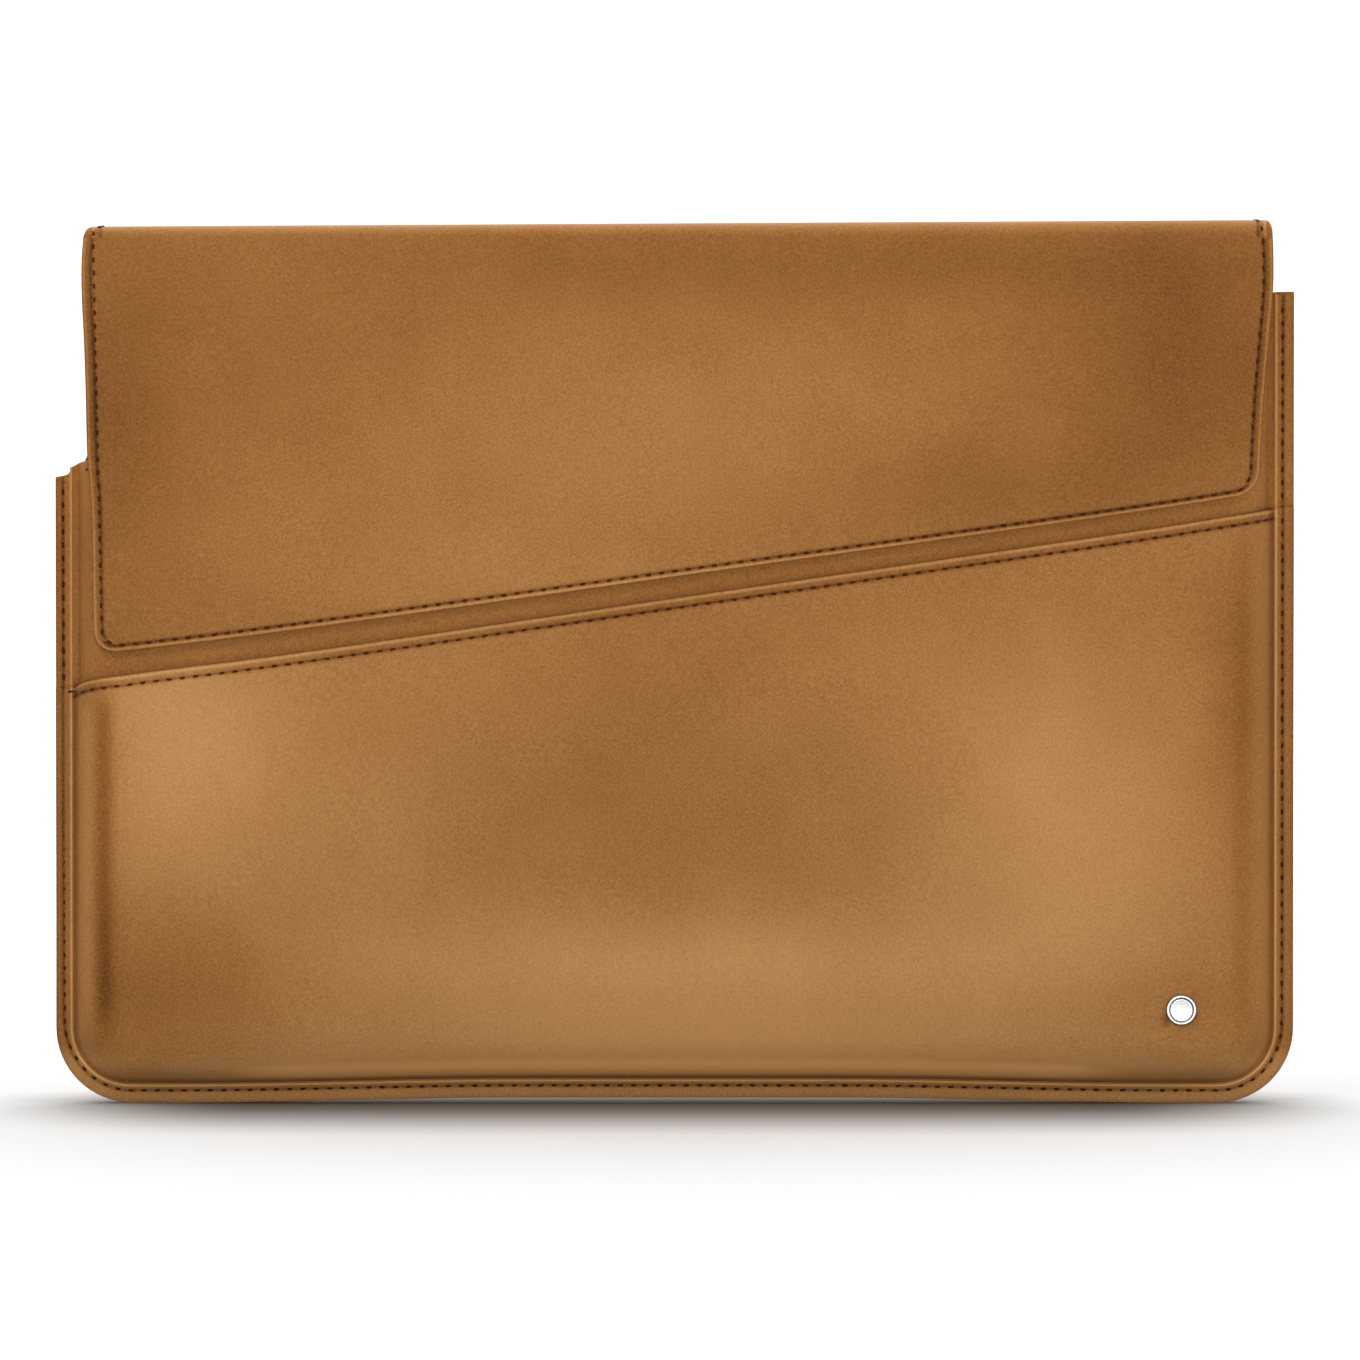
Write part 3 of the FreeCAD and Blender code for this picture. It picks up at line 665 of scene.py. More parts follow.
LEATHER_OUT = leather_material(
    "leather_tan", (0.425, 0.215, 0.076), (0.280, 0.119, 0.029), (0.172, 0.061, 0.010),
    (0.058, 0.015, 0.001), 0.46)
LEATHER_IN = leather_material(
    "leather_tan_inner", (0.440, 0.200, 0.062), (0.310, 0.127, 0.030), (0.185, 0.065, 0.010),
    (0.058, 0.014, 0.001), 0.5)
SUEDE = suede_material("lining_suede", (0.240, 0.125, 0.055), (0.130, 0.062, 0.025))
THREAD = thread_material("thread_brown", (0.080, 0.020, 0.003), (0.030, 0.006, 0.001))
STEEL = steel_material("stud_polished", (0.80, 0.80, 0.79), 0.28)
NICKEL = steel_material("magnet_nickel", (0.62, 0.62, 0.63), 0.3)
BOARD = board_material("fibreboard", (0.42, 0.36, 0.28), (0.22, 0.18, 0.13))
FOAM = foam_material("foam_grey", (0.10, 0.10, 0.105), (0.035, 0.035, 0.037))


# ---- tone: where the leather is darker or lighter, from dye clouding and from painted light and shade

# Spots on the front, as (X, Z, reach across, reach up, amount): partly dye clouding, partly painted
# light and shade.
POCKET_DYE_AND_PAINTED_LIGHT = [
    (-152, 112, 30, 38, 0.24), (-108, 84, 52, 50, 0.12), (20, 108, 70, 30, -0.02),
    (118, 84, 44, 50, 0.28), (4, 38, 116, 20, 0.34), (-156, 34, 44, 20, -0.16),
    (150, 30, 40, 17, -0.10), (6, 19, 118, 10, 0.28), (172, 110, 12, 50, -0.14),
    (-177, 60, 8, 60, -0.14), (60, 130, 60, 20, 0.04),
]
# Spots on the flap, as (X, Z, reach across, reach up, amount): partly dye clouding, partly painted
# light and shade.
FLAP_DYE_AND_PAINTED_LIGHT = [
    (-4, 200, 80, 38, 0.14), (92, 188, 44, 16, -0.10), (-170, 210, 26, 46, -0.16),
    (150, 226, 50, 36, -0.20), (70, 254, 100, 12, -0.10), (-120, 176, 46, 24, 0.06),
    (-60, 160, 70, 14, 0.10), (110, 215, 30, 30, 0.06),
]


# Darker towards a cut edge: partly a burnished edge, partly painted shade.
def edge_burnish_and_shade(distance, reach, depth):
    return -depth * np.exp(-np.maximum(distance, 0) / reach)


def front_inset(x, z):
    """Inset on the front leathers, whose lips are shifted a little sideways."""
    on_flange = np.abs(x) > HALF_WIDTH - 4.2
    return np.where(on_flange, outline_inset(x, z), outline_inset(x, z, LIP_SHIFT))


def seam_tone(x, z, inset):
    """Flange, pressed stitch line, a painted highlight on the lip, painted shade at the foot of the
    wall, and a cut edge darkened partly as burnish, partly as painted shade.
    """
    return (-0.04 * smoothstep(5.2, 4.4, inset) - 0.34 * bell(inset - stitch_inset(x, z), 0.5)
            + 0.5 * bell(inset - LIP_INSET, 0.5) - 0.16 * bell(inset - 6.5, 0.8)
            + edge_burnish_and_shade(inset, 0.7, 0.25))


def pocket_tone(x, y, z):
    inset = front_inset(x, z)
    under = pocket_edge(x) - z
    # Along the pocket's edge: a darker hem band, a darker stitch line, a painted highlight on the
    # rounded edge and a painted shadow line at its top.
    hem = (-0.14 * smoothstep(POCKET_STITCH + 1.2, POCKET_STITCH - 0.4, under)
           - 0.3 * bell(under - POCKET_STITCH, 0.45)
           + 0.36 * bell(under - 0.75, 0.5) - 0.3 * bell(under + 0.1, 0.3))
    # Painted light and shade on the wall's shoulder, mostly on the left: a lit band, then a shaded
    # band further in.
    painted_shoulder_shading = (np.where(x < 0, 1.0, 0.35) * smoothstep(16, 34, z) * smoothstep(0, 14, under)
                * (0.14 * bell(inset - 10.5, 2.2) - 0.24 * bell(inset - 15.5, 2.8)))
    wall, middle = smoothstep(5.8, 7.5, inset), smoothstep(172, 112, np.abs(x))
    # Painted light: the foot of the front is lighter, standing in for light bounced up from the
    # floor.
    foot = ((0.25 * (1 - wall) + (0.2 + 0.22 * middle) * wall) * smoothstep(19, 11, z)
            + 0.35 * middle * wall * smoothstep(14, 9, z))
    # The spots are dye clouding and painted light and shade; the rolled wall is painted a little
    # darker, as shade; a thin ring round the stud is painted shadow.
    return (swells(POCKET_DYE_AND_PAINTED_LIGHT, x, z) * smoothstep(6, 20, inset) + seam_tone(x, z, inset)
            + painted_shoulder_shading + foot + hem * smoothstep(5, 6, inset)
            - 0.06 * smoothstep(16, 9, inset) * smoothstep(5.5, 6.5, inset)
            - 0.4 * bell(from_stud(x, z) - 4.85, 0.35))


def panel_tone(x, y, z):
    inset = front_inset(x, z)
    return seam_tone(x, z, inset) - 0.08 * smoothstep(6, 7, inset)


def flap_tone(x, y, z):
    edge, side, up = flap_edge_distance(x, z)
    line = edge - np.where(up < side, FLAP_STITCH, FLAP_SIDE_STITCH)
    # Dye clouding and painted light and shade from the spots, a darker stitch line, a painted
    # highlight on the rounded edge with a dark line right at it, and a painted highlight over the
    # top bend.
    return (swells(FLAP_DYE_AND_PAINTED_LIGHT, x, z) * (y < 0) - 0.07 - 0.3 * bell(line, 0.45)
            + 0.32 * bell(edge - 0.65, 0.4) - 0.2 * bell(edge, 0.2)
            + 0.1 * smoothstep(CREASE_Z, CREASE_Z + 3, z) - 0.08 * smoothstep(3.0, 2.2, edge))


def back_tone(x, y, z):
    inset = outline_inset(x, z)
    low = z < mouth_edge(x)
    # Spots that follow the back's swells, painted shade at the foot of the wall, and a cut edge
    # darkened partly as burnish, partly as painted shade.
    return (swells(BACK_SWELLS, x, z) * 0.2 - low * 0.25 * bell(inset - 6.6, 1.5)
            + low * edge_burnish_and_shade(inset, 1.2, 0.25))


# ---- leathers

HIDE_INSETS = np.array([0, 0.3, 0.6, 1.0, 1.4, 1.8, 2.2, 2.5, 2.8, 3.1, 3.4, 3.8, 4.4, 5.2, 6.1,
                        FLAP_CORNER])
FLAP_HALF = 177.5       # half the flap's width, before its sides take their own curves
PAST_MIDDLE = 1.2       # how far each half of the hide is first made past the middle of the spine


def over_patch(row, facing, out, drop=0.0):
    """The hide from its row of X at the crease, round the bend and past the spine's middle."""
    turns = np.linspace(0, math.pi / 2, BEND_ROWS)
    centre, radius = out - CREASE_RADIUS, CREASE_RADIUS - drop
    bend = [(centre + radius * math.cos(a), CREASE_Z + radius * math.sin(a)) for a in turns]
    flat = [(depth, CREASE_Z + radius) for depth in spaced(centre, -PAST_MIDDLE, 1.7)[1:]]
    depth, z = np.array(bend + flat).T
    narrow = np.concatenate([1 - np.cos(turns), np.ones(len(flat))])[:, None]
    from_left = np.clip(1 - (row - row.min()) / CORNER, 0, 1)
    from_right = np.clip(1 - (row.max() - row) / CORNER, 0, 1)
    short = 0.6 * (drop > 0)
    x = (row + narrow * (from_left * (SPINE_LEFT + short - row.min())
                         + from_right * (SPINE_RIGHT - short - row.max())))
    return np.stack(np.broadcast_arrays(x, facing * depth[:, None], z[:, None]), axis=-1)


def flap_patches(drop=0.0, inset=0.0):
    """Flap from its slanting edge up to the crease, its corners rounded, then half the spine."""
    inner = FLAP_HALF - FLAP_CORNER
    columns = np.array(spaced(-inner, inner, GRID_STEP))
    patches, top_row = [], []

    def low(x):
        return flap_edge(x) + inset

    def patch(x, z, to_top=False):
        left, right = flap_left(z) + inset, flap_right(z) - inset
        reach = (right - left) / 2
        side = FLAP_HALF - np.abs(x)
        straight = np.abs(x) / inner * (reach - FLAP_CORNER)
        across = np.where(side < FLAP_CORNER, reach - side, straight)
        points = np.broadcast_arrays((left + right) / 2 + np.sign(x) * across, drop - FLAP_OUT, z)
        patches.append(np.stack(points, axis=-1))
        if to_top:
            top_row.append(patches[-1][-1, :, 0])

    def field(x):
        bottom = low(x) + FLAP_CORNER
        return bottom + (CREASE_Z - bottom) * np.linspace(0, 1, 44)[:, None]

    turns = np.linspace(0, math.pi / 2, BEND_ROWS)[:, None]
    left_over = FLAP_CORNER - HIDE_INSETS
    for sign in (-1, 1):
        x = sign * (FLAP_HALF - HIDE_INSETS)
        patch(x, field(x), to_top=True)
        across = sign * (inner + left_over * np.cos(turns))
        patch(across, low(across) + FLAP_CORNER - left_over * np.sin(turns))
    x, rise = np.meshgrid(columns, HIDE_INSETS)
    patch(x, low(x) + rise)
    patch(columns, field(columns), to_top=True)
    patches.append(over_patch(joined_row(top_row), FRONT, FLAP_OUT, drop))
    return patches


def joined_row(rows):
    """One rising row of X from neighbouring rows that share their end points."""
    return np.unique(np.concatenate(rows).round(6))


def with_cuts(insets, cuts):
    """The insets with those of the cuts put in, and no two so close that faces get thin."""
    extra = np.concatenate([cut + HIDE_INSETS for cut in cuts])
    full = np.unique(np.concatenate([insets, extra[extra < CORNER]]).round(4))
    full = full[np.concatenate([[True], np.diff(full) > 0.05])]
    full = np.unique(np.concatenate([full, cuts]))
    return np.array([inset for inset in full
                     if inset in cuts or min(abs(inset - cut) for cut in cuts) > 0.12])


def back_patches(levels, out):
    """Back: a tray up to the mouth line, above it only its free middle, running into the crease."""
    cuts = (HALF_WIDTH + float(back_left(mouth_edge(-HALF_WIDTH + 10))),
            HALF_WIDTH - float(back_right(mouth_edge(HALF_WIDTH - 8))))
    insets, depths = np.array(levels).T
    full = with_cuts(insets, cuts)
    depths = np.interp(full, insets, depths)
    patches = tray_patches(list(zip(full, depths)), mouth_edge, BACK)
    rise = np.linspace(0, 1, 40)[:, None]
    row = []

    def above(x, depth, moved=None):
        low = mouth_edge(x)
        z = low + (CREASE_Z - low) * rise
        depth = depth + (out - depth) * smoothstep(0, 0.9, rise)
        across = x + (moved(z) if moved else 0 * z)
        patches.append(np.stack(np.broadcast_arrays(across, depth, z), axis=-1))
        row.append(across[-1])

    for sign, cut, edge in zip((-1, 1), cuts, (back_left, back_right)):
        keep = full >= cut - 1e-6
        x = sign * (HALF_WIDTH - full[keep])
        above(x, depths[keep], lambda z: (edge(z) - x[0]) * (x[-1] - x) / (x[-1] - x[0]))
    columns = np.array(spaced(-(HALF_WIDTH - CORNER), HALF_WIDTH - CORNER, GRID_STEP))
    above(columns, np.full(len(columns), out))
    patches.append(over_patch(joined_row(row), BACK, out))
    return patches


def cut_at_middle(piece, facing):
    """Cuts half of the hide off square at the spine's middle, where it meets the other half."""
    work = bmesh.new()
    work.from_mesh(piece.data)
    parts = work.verts[:] + work.edges[:] + work.faces[:]
    found = bmesh.ops.bisect_plane(work, geom=parts, dist=1e-7, plane_co=(0, 0, 0),
                                   plane_no=(0, -facing, 0), clear_outer=True)
    rim = [item for item in found["geom_cut"] if isinstance(item, bmesh.types.BMEdge)]
    bmesh.ops.contextual_create(work, geom=rim)
    work.to_mesh(piece.data)
    work.free()


def shifted(points):
    """The lips of the front leathers sit a little to the left on the seam."""
    inset = outline_inset(points[..., 0], points[..., 2])
    moved = points.copy()
    moved[..., 0] -= LIP_SHIFT * smoothstep(3.7, 4.9, inset) * smoothstep(15, 8, inset)
    return moved


def make_tray(name, levels, edge, relief, material, tone, thickness, rounding):
    """One of the two front leathers."""
    patches = [shifted(points) for points in tray_patches(levels, edge, FRONT)]
    piece = surface_object(name, patches, to_the_front)
    displace(piece, relief)
    thicken(piece, thickness, rounding)
    return finish_leather(piece, material, tone)


def make_hide(name, patches, facing, relief, tone=None, thickness=LEATHER, rounding=0.45,
              material=LEATHER_OUT, slot="leather"):
    """Half of the hide or its lining: up the back or the flap, and over to the spine's middle."""
    piece = surface_object(name, patches, over_the_top)
    displace(piece, relief)
    lift(piece, lean)
    thicken(piece, thickness, rounding)
    cut_at_middle(piece, facing)
    return finish_leather(piece, material, tone)


POCKET_LEVELS = rim_profile(FLANGE_FACES["pocket"], WALL_INSET, FLAT_INSET, POCKET_OUT)
PANEL_LEVELS = rim_profile(FLANGE_FACES["panel"], 7.6, 16.5, PANEL_OUT)
BACK_LEVELS = rim_profile(FLANGE_FACES["back"], WALL_INSET, FLAT_INSET, BACK_OUT, lip=0.3)

pocket_hide = make_tray("pocket_panel_hide", POCKET_LEVELS, pocket_edge, pocket_relief,
                        LEATHER_OUT, pocket_tone, LEATHER, 0.45)
panel_hide = make_tray("inner_panel_hide", PANEL_LEVELS, mouth_edge, panel_relief,
                       LEATHER_IN, panel_tone, 1.05, 0.4)
back_hide = make_hide("back_hide", back_patches(BACK_LEVELS, BACK_OUT), BACK, back_relief,
                      back_tone)
flap_hide = make_hide("flap_hide", flap_patches(), FRONT, flap_relief, flap_tone)

# ---- linings


LINING_DROP = 1.25      # from the hide's outer face to the lining's outer face over the bends
LINING_OUT = CAVITY + 0.45
BACK_LINING_START = 8.0
THIN_LINING = (0.25, 0.3)   # thickness of the pocket's and of the flap's lining


def lining_patches(start, low, out, edge, facing):
    """A tray of lining: it starts at one inset from the outline and rolls out to its own flat."""
    levels = [(inset - start, depth) for inset, depth in roll(start, FLAT_INSET, low, out, 9)]
    levels += [(FLAT_INSET + 2.0 - start, out), (CORNER - start, out)]
    patches = tray_patches(levels, lambda x: edge(x) - start, facing, half=HALF_WIDTH - start,
                           radius=CORNER - start)
    return [points + np.array([0, 0, start]) for points in patches]


def soft_ripple(x, y, z):
    return 0.05 * np.sin(x / 17 + z / 23) * np.sin(z / 13)


def soft_ripple_low(x, y, z):
    return soft_ripple(x, y, z) * (z < 240)


def make_front_lining(name, node, start, low, out, edge, thickness):
    piece = surface_object(name, lining_patches(start, low, out, edge, FRONT), to_the_front)
    displace(piece, soft_ripple)
    thicken(piece, thickness, 0.1)
    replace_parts(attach(finish_leather(piece, SUEDE), "pouch"), node)


def open_sided(points):
    """Above the side seams the back's lining lies against the hide, out to its edge."""
    x, y, z = np.moveaxis(points, -1, 0)
    seam_top = mouth_edge(x)
    above = smoothstep(seam_top - 3, seam_top + 10, z)
    in_from_edge = HALF_WIDTH - BACK_LINING_START - np.abs(x)
    edge = np.where(x < 0, back_left(z) + 0.6, back_right(z) - 0.6)
    share = np.clip(1 - in_from_edge / (CORNER - BACK_LINING_START), 0, 1)
    across = x + above * share * (edge - np.sign(x) * (HALF_WIDTH - BACK_LINING_START))
    rise = np.clip((z - seam_top) / (CREASE_Z - seam_top), 0, 1)
    at_edge = 10.4 + (BACK_OUT - LINING_DROP - 10.4) * smoothstep(0, 0.9, rise)
    depth = at_edge + (y - at_edge) * smoothstep(1.0, 8.5, in_from_edge)
    depth = depth + (BACK_OUT - LINING_DROP - depth) * smoothstep(251.3, CREASE_Z, z)
    return np.stack([across, y + (depth - y) * above, z], axis=-1)


def back_lining_patches():
    patches = lining_patches(BACK_LINING_START, 0.35, LINING_OUT, lambda x: CREASE_Z + 0 * x, BACK)
    patches = [open_sided(points) for points in patches]
    rows = [points[-1, :, 0] for points in patches if abs(points[-1, 0, 2] - CREASE_Z) < 1e-6]
    return patches + [over_patch(joined_row(rows), BACK, BACK_OUT, LINING_DROP)]


def under_flap(x, y, z):
    """The flap's lining steps down round the board's edge."""
    edge = flap_edge_distance(x, z)[0]
    return -0.8 * smoothstep(2.2, 3.9, edge) * smoothstep(259.5, 255, z) * (z < CREASE_Z)


def make_linings():
    make_front_lining("pocket_lining_sheet", "pocket_lining", 6.6, 1.4, POCKET_OUT - LINING_DROP,
                      lambda x: pocket_edge(x) - 1.0, THIN_LINING[0])
    make_front_lining("inner_panel_lining_sheet", "inner_panel_lining", 8.0, 0.35, LINING_OUT,
                      lambda x: mouth_edge(x) - 1.1, LINING)
    suede = {"rounding": 0.1, "material": SUEDE, "slot": "lining"}
    back = make_hide("back_lining_sheet", back_lining_patches(), BACK, soft_ripple_low,
                     thickness=LINING, **suede)
    flap = make_hide("flap_lining_sheet", flap_patches(LINING_DROP, 0.6), FRONT, under_flap,
                     thickness=THIN_LINING[1], **suede)
    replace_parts(back, "back_lining", "spine_lining")
    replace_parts(flap, "flap_lining", "spine_lining")
    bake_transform(back)
    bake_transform(flap)


# ---- foam pads


def rounded_outline(low, high, top, radii):
    """Points of a board's outline: straight sides, a top that may slant, rounded corners."""
    spots = [(low[0], low[1], 1, 1, radii[0], 2), (high[0], low[1], -1, 1, radii[0], 3),
             (high[0], float(top(high[0])), -1, -1, radii[1], 0),
             (low[0], float(top(low[0])), 1, -1, radii[1], 1)]
    points = []
    for x, z, to_x, to_z, radius, quarter in spots:
        centre = np.array([x + to_x * radius, z + to_z * radius])
        for turn in np.linspace(0, math.pi / 2, 6):
            angle = quarter * math.pi / 2 + turn
            points.append(tuple(centre + radius * np.array([math.cos(angle), math.sin(angle)])))
    return points


def make_pad(name, node, top):
    """A foam pad: rounded edges, faces that swell towards the middle, and soft unevenness."""
    low, high = node_box(node)
    work = bmesh.new()
    outline = rounded_outline((low[0], low[2]), (high[0], high[2]), top, (6.5, 3.0))
    work.faces.new([work.verts.new(Vector((x, low[1], z)) * MM) for x, z in outline])
    for axis, normal in ((0, (1, 0, 0)), (2, (0, 0, 1))):
        for cut in spaced(low[axis] + 5, high[axis] - 5, 9.0):
            plane = Vector([cut * MM if k == axis else 0 for k in range(3)])
            parts = work.verts[:] + work.edges[:] + work.faces[:]
            bmesh.ops.bisect_plane(work, geom=parts, dist=1e-7, plane_co=plane, plane_no=normal)
    grown = bmesh.ops.extrude_face_region(work, geom=work.faces[:])
    deep = [item for item in grown["geom"] if isinstance(item, bmesh.types.BMVert)]
    bmesh.ops.translate(work, verts=deep, vec=Vector((0, (high[1] - low[1]) * MM, 0)))
    bmesh.ops.recalc_face_normals(work, faces=work.faces)
    piece = mesh_object(name, mesh_from(work, name))
    round_edges(piece, 0.42 * (high[1] - low[1]), 4)

    def crown(x, y, z):
        inside = np.minimum(np.minimum(x - low[0], high[0] - x), np.minimum(z - low[2], top(x) - z))
        return -0.16 * smoothstep(45, 0, inside) + 0.03 * np.sin(x / 9) * np.sin(z / 11)

    displace(piece, crown)
    finish_piece(piece, FOAM)
    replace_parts(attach(piece, "pouch"), node)


# ---- stitches


def tree_of(piece):
    return BVHTree.FromObject(piece, bpy.context.evaluated_depsgraph_get())


def cast(trees, origin, direction):
    """Nearest hit of a ray on any of several meshes, as place and normal, or None."""
    best = None
    origin, direction = Vector(origin) * MM, Vector(direction).normalized()
    for tree in trees:
        place, normal, _, distance = tree.ray_cast(origin, direction)
        if place is not None and (best is None or distance < best[0]):
            best = (distance, np.array(place) / MM, np.array(normal))
    return best and best[1:]


def on_surface(trees, rays):
    """Places and normals where the rays meet the surface."""
    hits = [cast(trees, origin, direction) for origin, direction in rays]
    hits = [hit for hit in hits if hit is not None]
    return np.array([hit[0] for hit in hits]), np.array([hit[1] for hit in hits])


RAY_START = 40          # how far outside the sleeve the rays start, and outside its bends
BEND_RAY_START = 20


def facing_rays(path, facing):
    return [((x, RAY_START * facing, z), (0, -facing, 0)) for x, z in path]


OVER_RAYS = 15          # rays on the bend, and as many again on the spine


def over_rays(xs, facing, out):
    """Rays on the bend and the spine, from outside, at one x for each."""
    centre = out - CREASE_RADIUS
    rays = []
    angles = np.linspace(0, math.pi / 2, OVER_RAYS)
    for x, a in zip(xs, angles):
        away = np.array([facing * math.cos(a), math.sin(a)])
        place = np.array([facing * centre, CREASE_Z]) + BEND_RAY_START * away
        rays.append(((x, *place), (0, *-away)))
    for x, depth in zip(xs[OVER_RAYS:], np.linspace(centre, 0.2, OVER_RAYS)):
        rays.append(((x, facing * depth, SPINE_TOP + BEND_RAY_START), (0, 0, -1)))
    return rays


def narrowing(edge, spine):
    """X of a stitch line over the bend, as the hide narrows onto the spine."""
    bend = edge + (spine - edge) * (1 - np.cos(np.linspace(0, math.pi / 2, OVER_RAYS)))
    return np.concatenate([bend, np.full(OVER_RAYS, spine)])


STITCH_RINGS = np.linspace(-1, 1, 9)
STITCH_SIDES = 8
STITCH_LENGTH = 2.0
THREAD_RADIUS = 0.37


def make_stitches(name, runs):
    """Single stitches along runs of surface points: short thick threads whose ends dive in."""
    verts, faces = [], []
    around = np.linspace(0, 2 * math.pi, STITCH_SIDES, endpoint=False)
    for places, normals in runs:
        steps = np.linalg.norm(np.diff(places, axis=0), axis=1)
        along = np.concatenate([[0], np.cumsum(steps)])
        count = int((along[-1] - 1.0) // STITCH_PITCH)
        first = (along[-1] - (count - 1) * STITCH_PITCH) / 2
        for k in range(count):
            middle = first + k * STITCH_PITCH
            size = 1 + 0.06 * RNG.standard_normal()
            turn = math.radians(4) * RNG.standard_normal()
            at = middle + STITCH_RINGS * STITCH_LENGTH / 2
            line = np.stack([np.interp(at, along, places[:, j]) for j in range(3)], axis=-1)
            up = np.stack([np.interp(at, along, normals[:, j]) for j in range(3)], axis=-1)
            up /= np.linalg.norm(up, axis=1)[:, None]
            forward = np.gradient(line, axis=0)
            forward /= np.linalg.norm(forward, axis=1)[:, None]
            side = np.cross(forward, up)
            lift = 0.18 - 0.75 * np.abs(STITCH_RINGS) ** 4
            slant = STITCH_RINGS * STITCH_LENGTH / 2 * math.tan(turn)
            centre = line + up * lift[:, None] + side * slant[:, None]
            thick = THREAD_RADIUS * size * (1 - 0.45 * np.abs(STITCH_RINGS) ** 3)
            base = len(verts)
            for ring in range(len(STITCH_RINGS)):
                for angle in around:
                    verts.append(centre[ring] + thick[ring] * (math.cos(angle) * side[ring]
                                                               + math.sin(angle) * up[ring]))
            for ring in range(len(STITCH_RINGS) - 1):
                start = base + ring * STITCH_SIDES
                for j in range(STITCH_SIDES):
                    a, b = start + j, start + (j + 1) % STITCH_SIDES
                    faces.append((a, b, b + STITCH_SIDES, a + STITCH_SIDES))
            last = base + (len(STITCH_RINGS) - 1) * STITCH_SIDES
            faces.append(tuple(base + j for j in range(STITCH_SIDES))[::-1])
            faces.append(tuple(last + j for j in range(STITCH_SIDES)))
    mesh = bpy.data.meshes.new(name)
    mesh.from_pydata([Vector(vert) * MM for vert in verts], [], faces)
    work = bmesh.new()
    work.from_mesh(mesh)
    bmesh.ops.recalc_face_normals(work, faces=work.faces)
    work.to_mesh(mesh)
    work.free()
    return finish_piece(mesh_object(name, mesh), THREAD)


def seam_path(start_z, end_z):
    """The perimeter stitch line, from the left seam's top round the bottom to the right one's."""
    inner = HALF_WIDTH - CORNER
    turns = [(math.cos(a), math.sin(a)) for a in spaced(0, math.pi / 2, 0.04)[1:]]
    outline = [(-HALF_WIDTH, z, 1, 0) for z in spaced(start_z, CORNER, 1.0)]
    outline += [(-inner - CORNER * cos, CORNER - CORNER * sin, cos, sin) for cos, sin in turns]
    outline += [(x, 0, 0, 1) for x in spaced(-inner, inner, 1.0)[1:]]
    outline += [(inner + CORNER * sin, CORNER - CORNER * cos, -sin, cos) for cos, sin in turns]
    outline += [(HALF_WIDTH, z, -1, 0) for z in spaced(CORNER, end_z, 1.0)[1:]]
    line = [(x + across * float(stitch_inset(x, z)), z + up * float(stitch_inset(x, z)))
            for x, z, across, up in outline]
    return [(x, z + float(arch(x, z))) for x, z in line]


def flap_path():
    """The flap's stitch line: from the left crease down, along the slant, and up the right."""
    turn = FLAP_CORNER - 1.2
    low = {sign: float(flap_edge(sign * 172)) + FLAP_STITCH for sign in (-1, 1)}
    left = [(float(flap_left(z)) + side_stitch(z), z)
            for z in spaced(CREASE_Z, low[-1] + turn, 1.0)]
    right = [(float(flap_right(z)) - side_stitch(z), z)
             for z in spaced(low[1] + turn, CREASE_Z, 1.0)]
    foot = [(x, float(flap_edge(x)) + FLAP_STITCH)
            for x in spaced(left[-1][0] + turn, right[0][0] - turn, 1.0)]
    return left + rounded(left[-1], foot[0], 1) + foot + rounded(foot[-1], right[0], 0) + right


def rounded(first, last, falling):
    """Points of a quarter turn between two points, falling first or running across first."""
    (x0, z0), (x1, z1) = first, last
    arc = []
    for a in np.linspace(0, math.pi / 2, 9)[1:-1]:
        slow, fast = 1 - math.cos(a), math.sin(a)
        across, along = (slow, fast) if falling else (fast, slow)
        arc.append((x0 + (x1 - x0) * across, z0 + (z1 - z0) * along))
    return arc


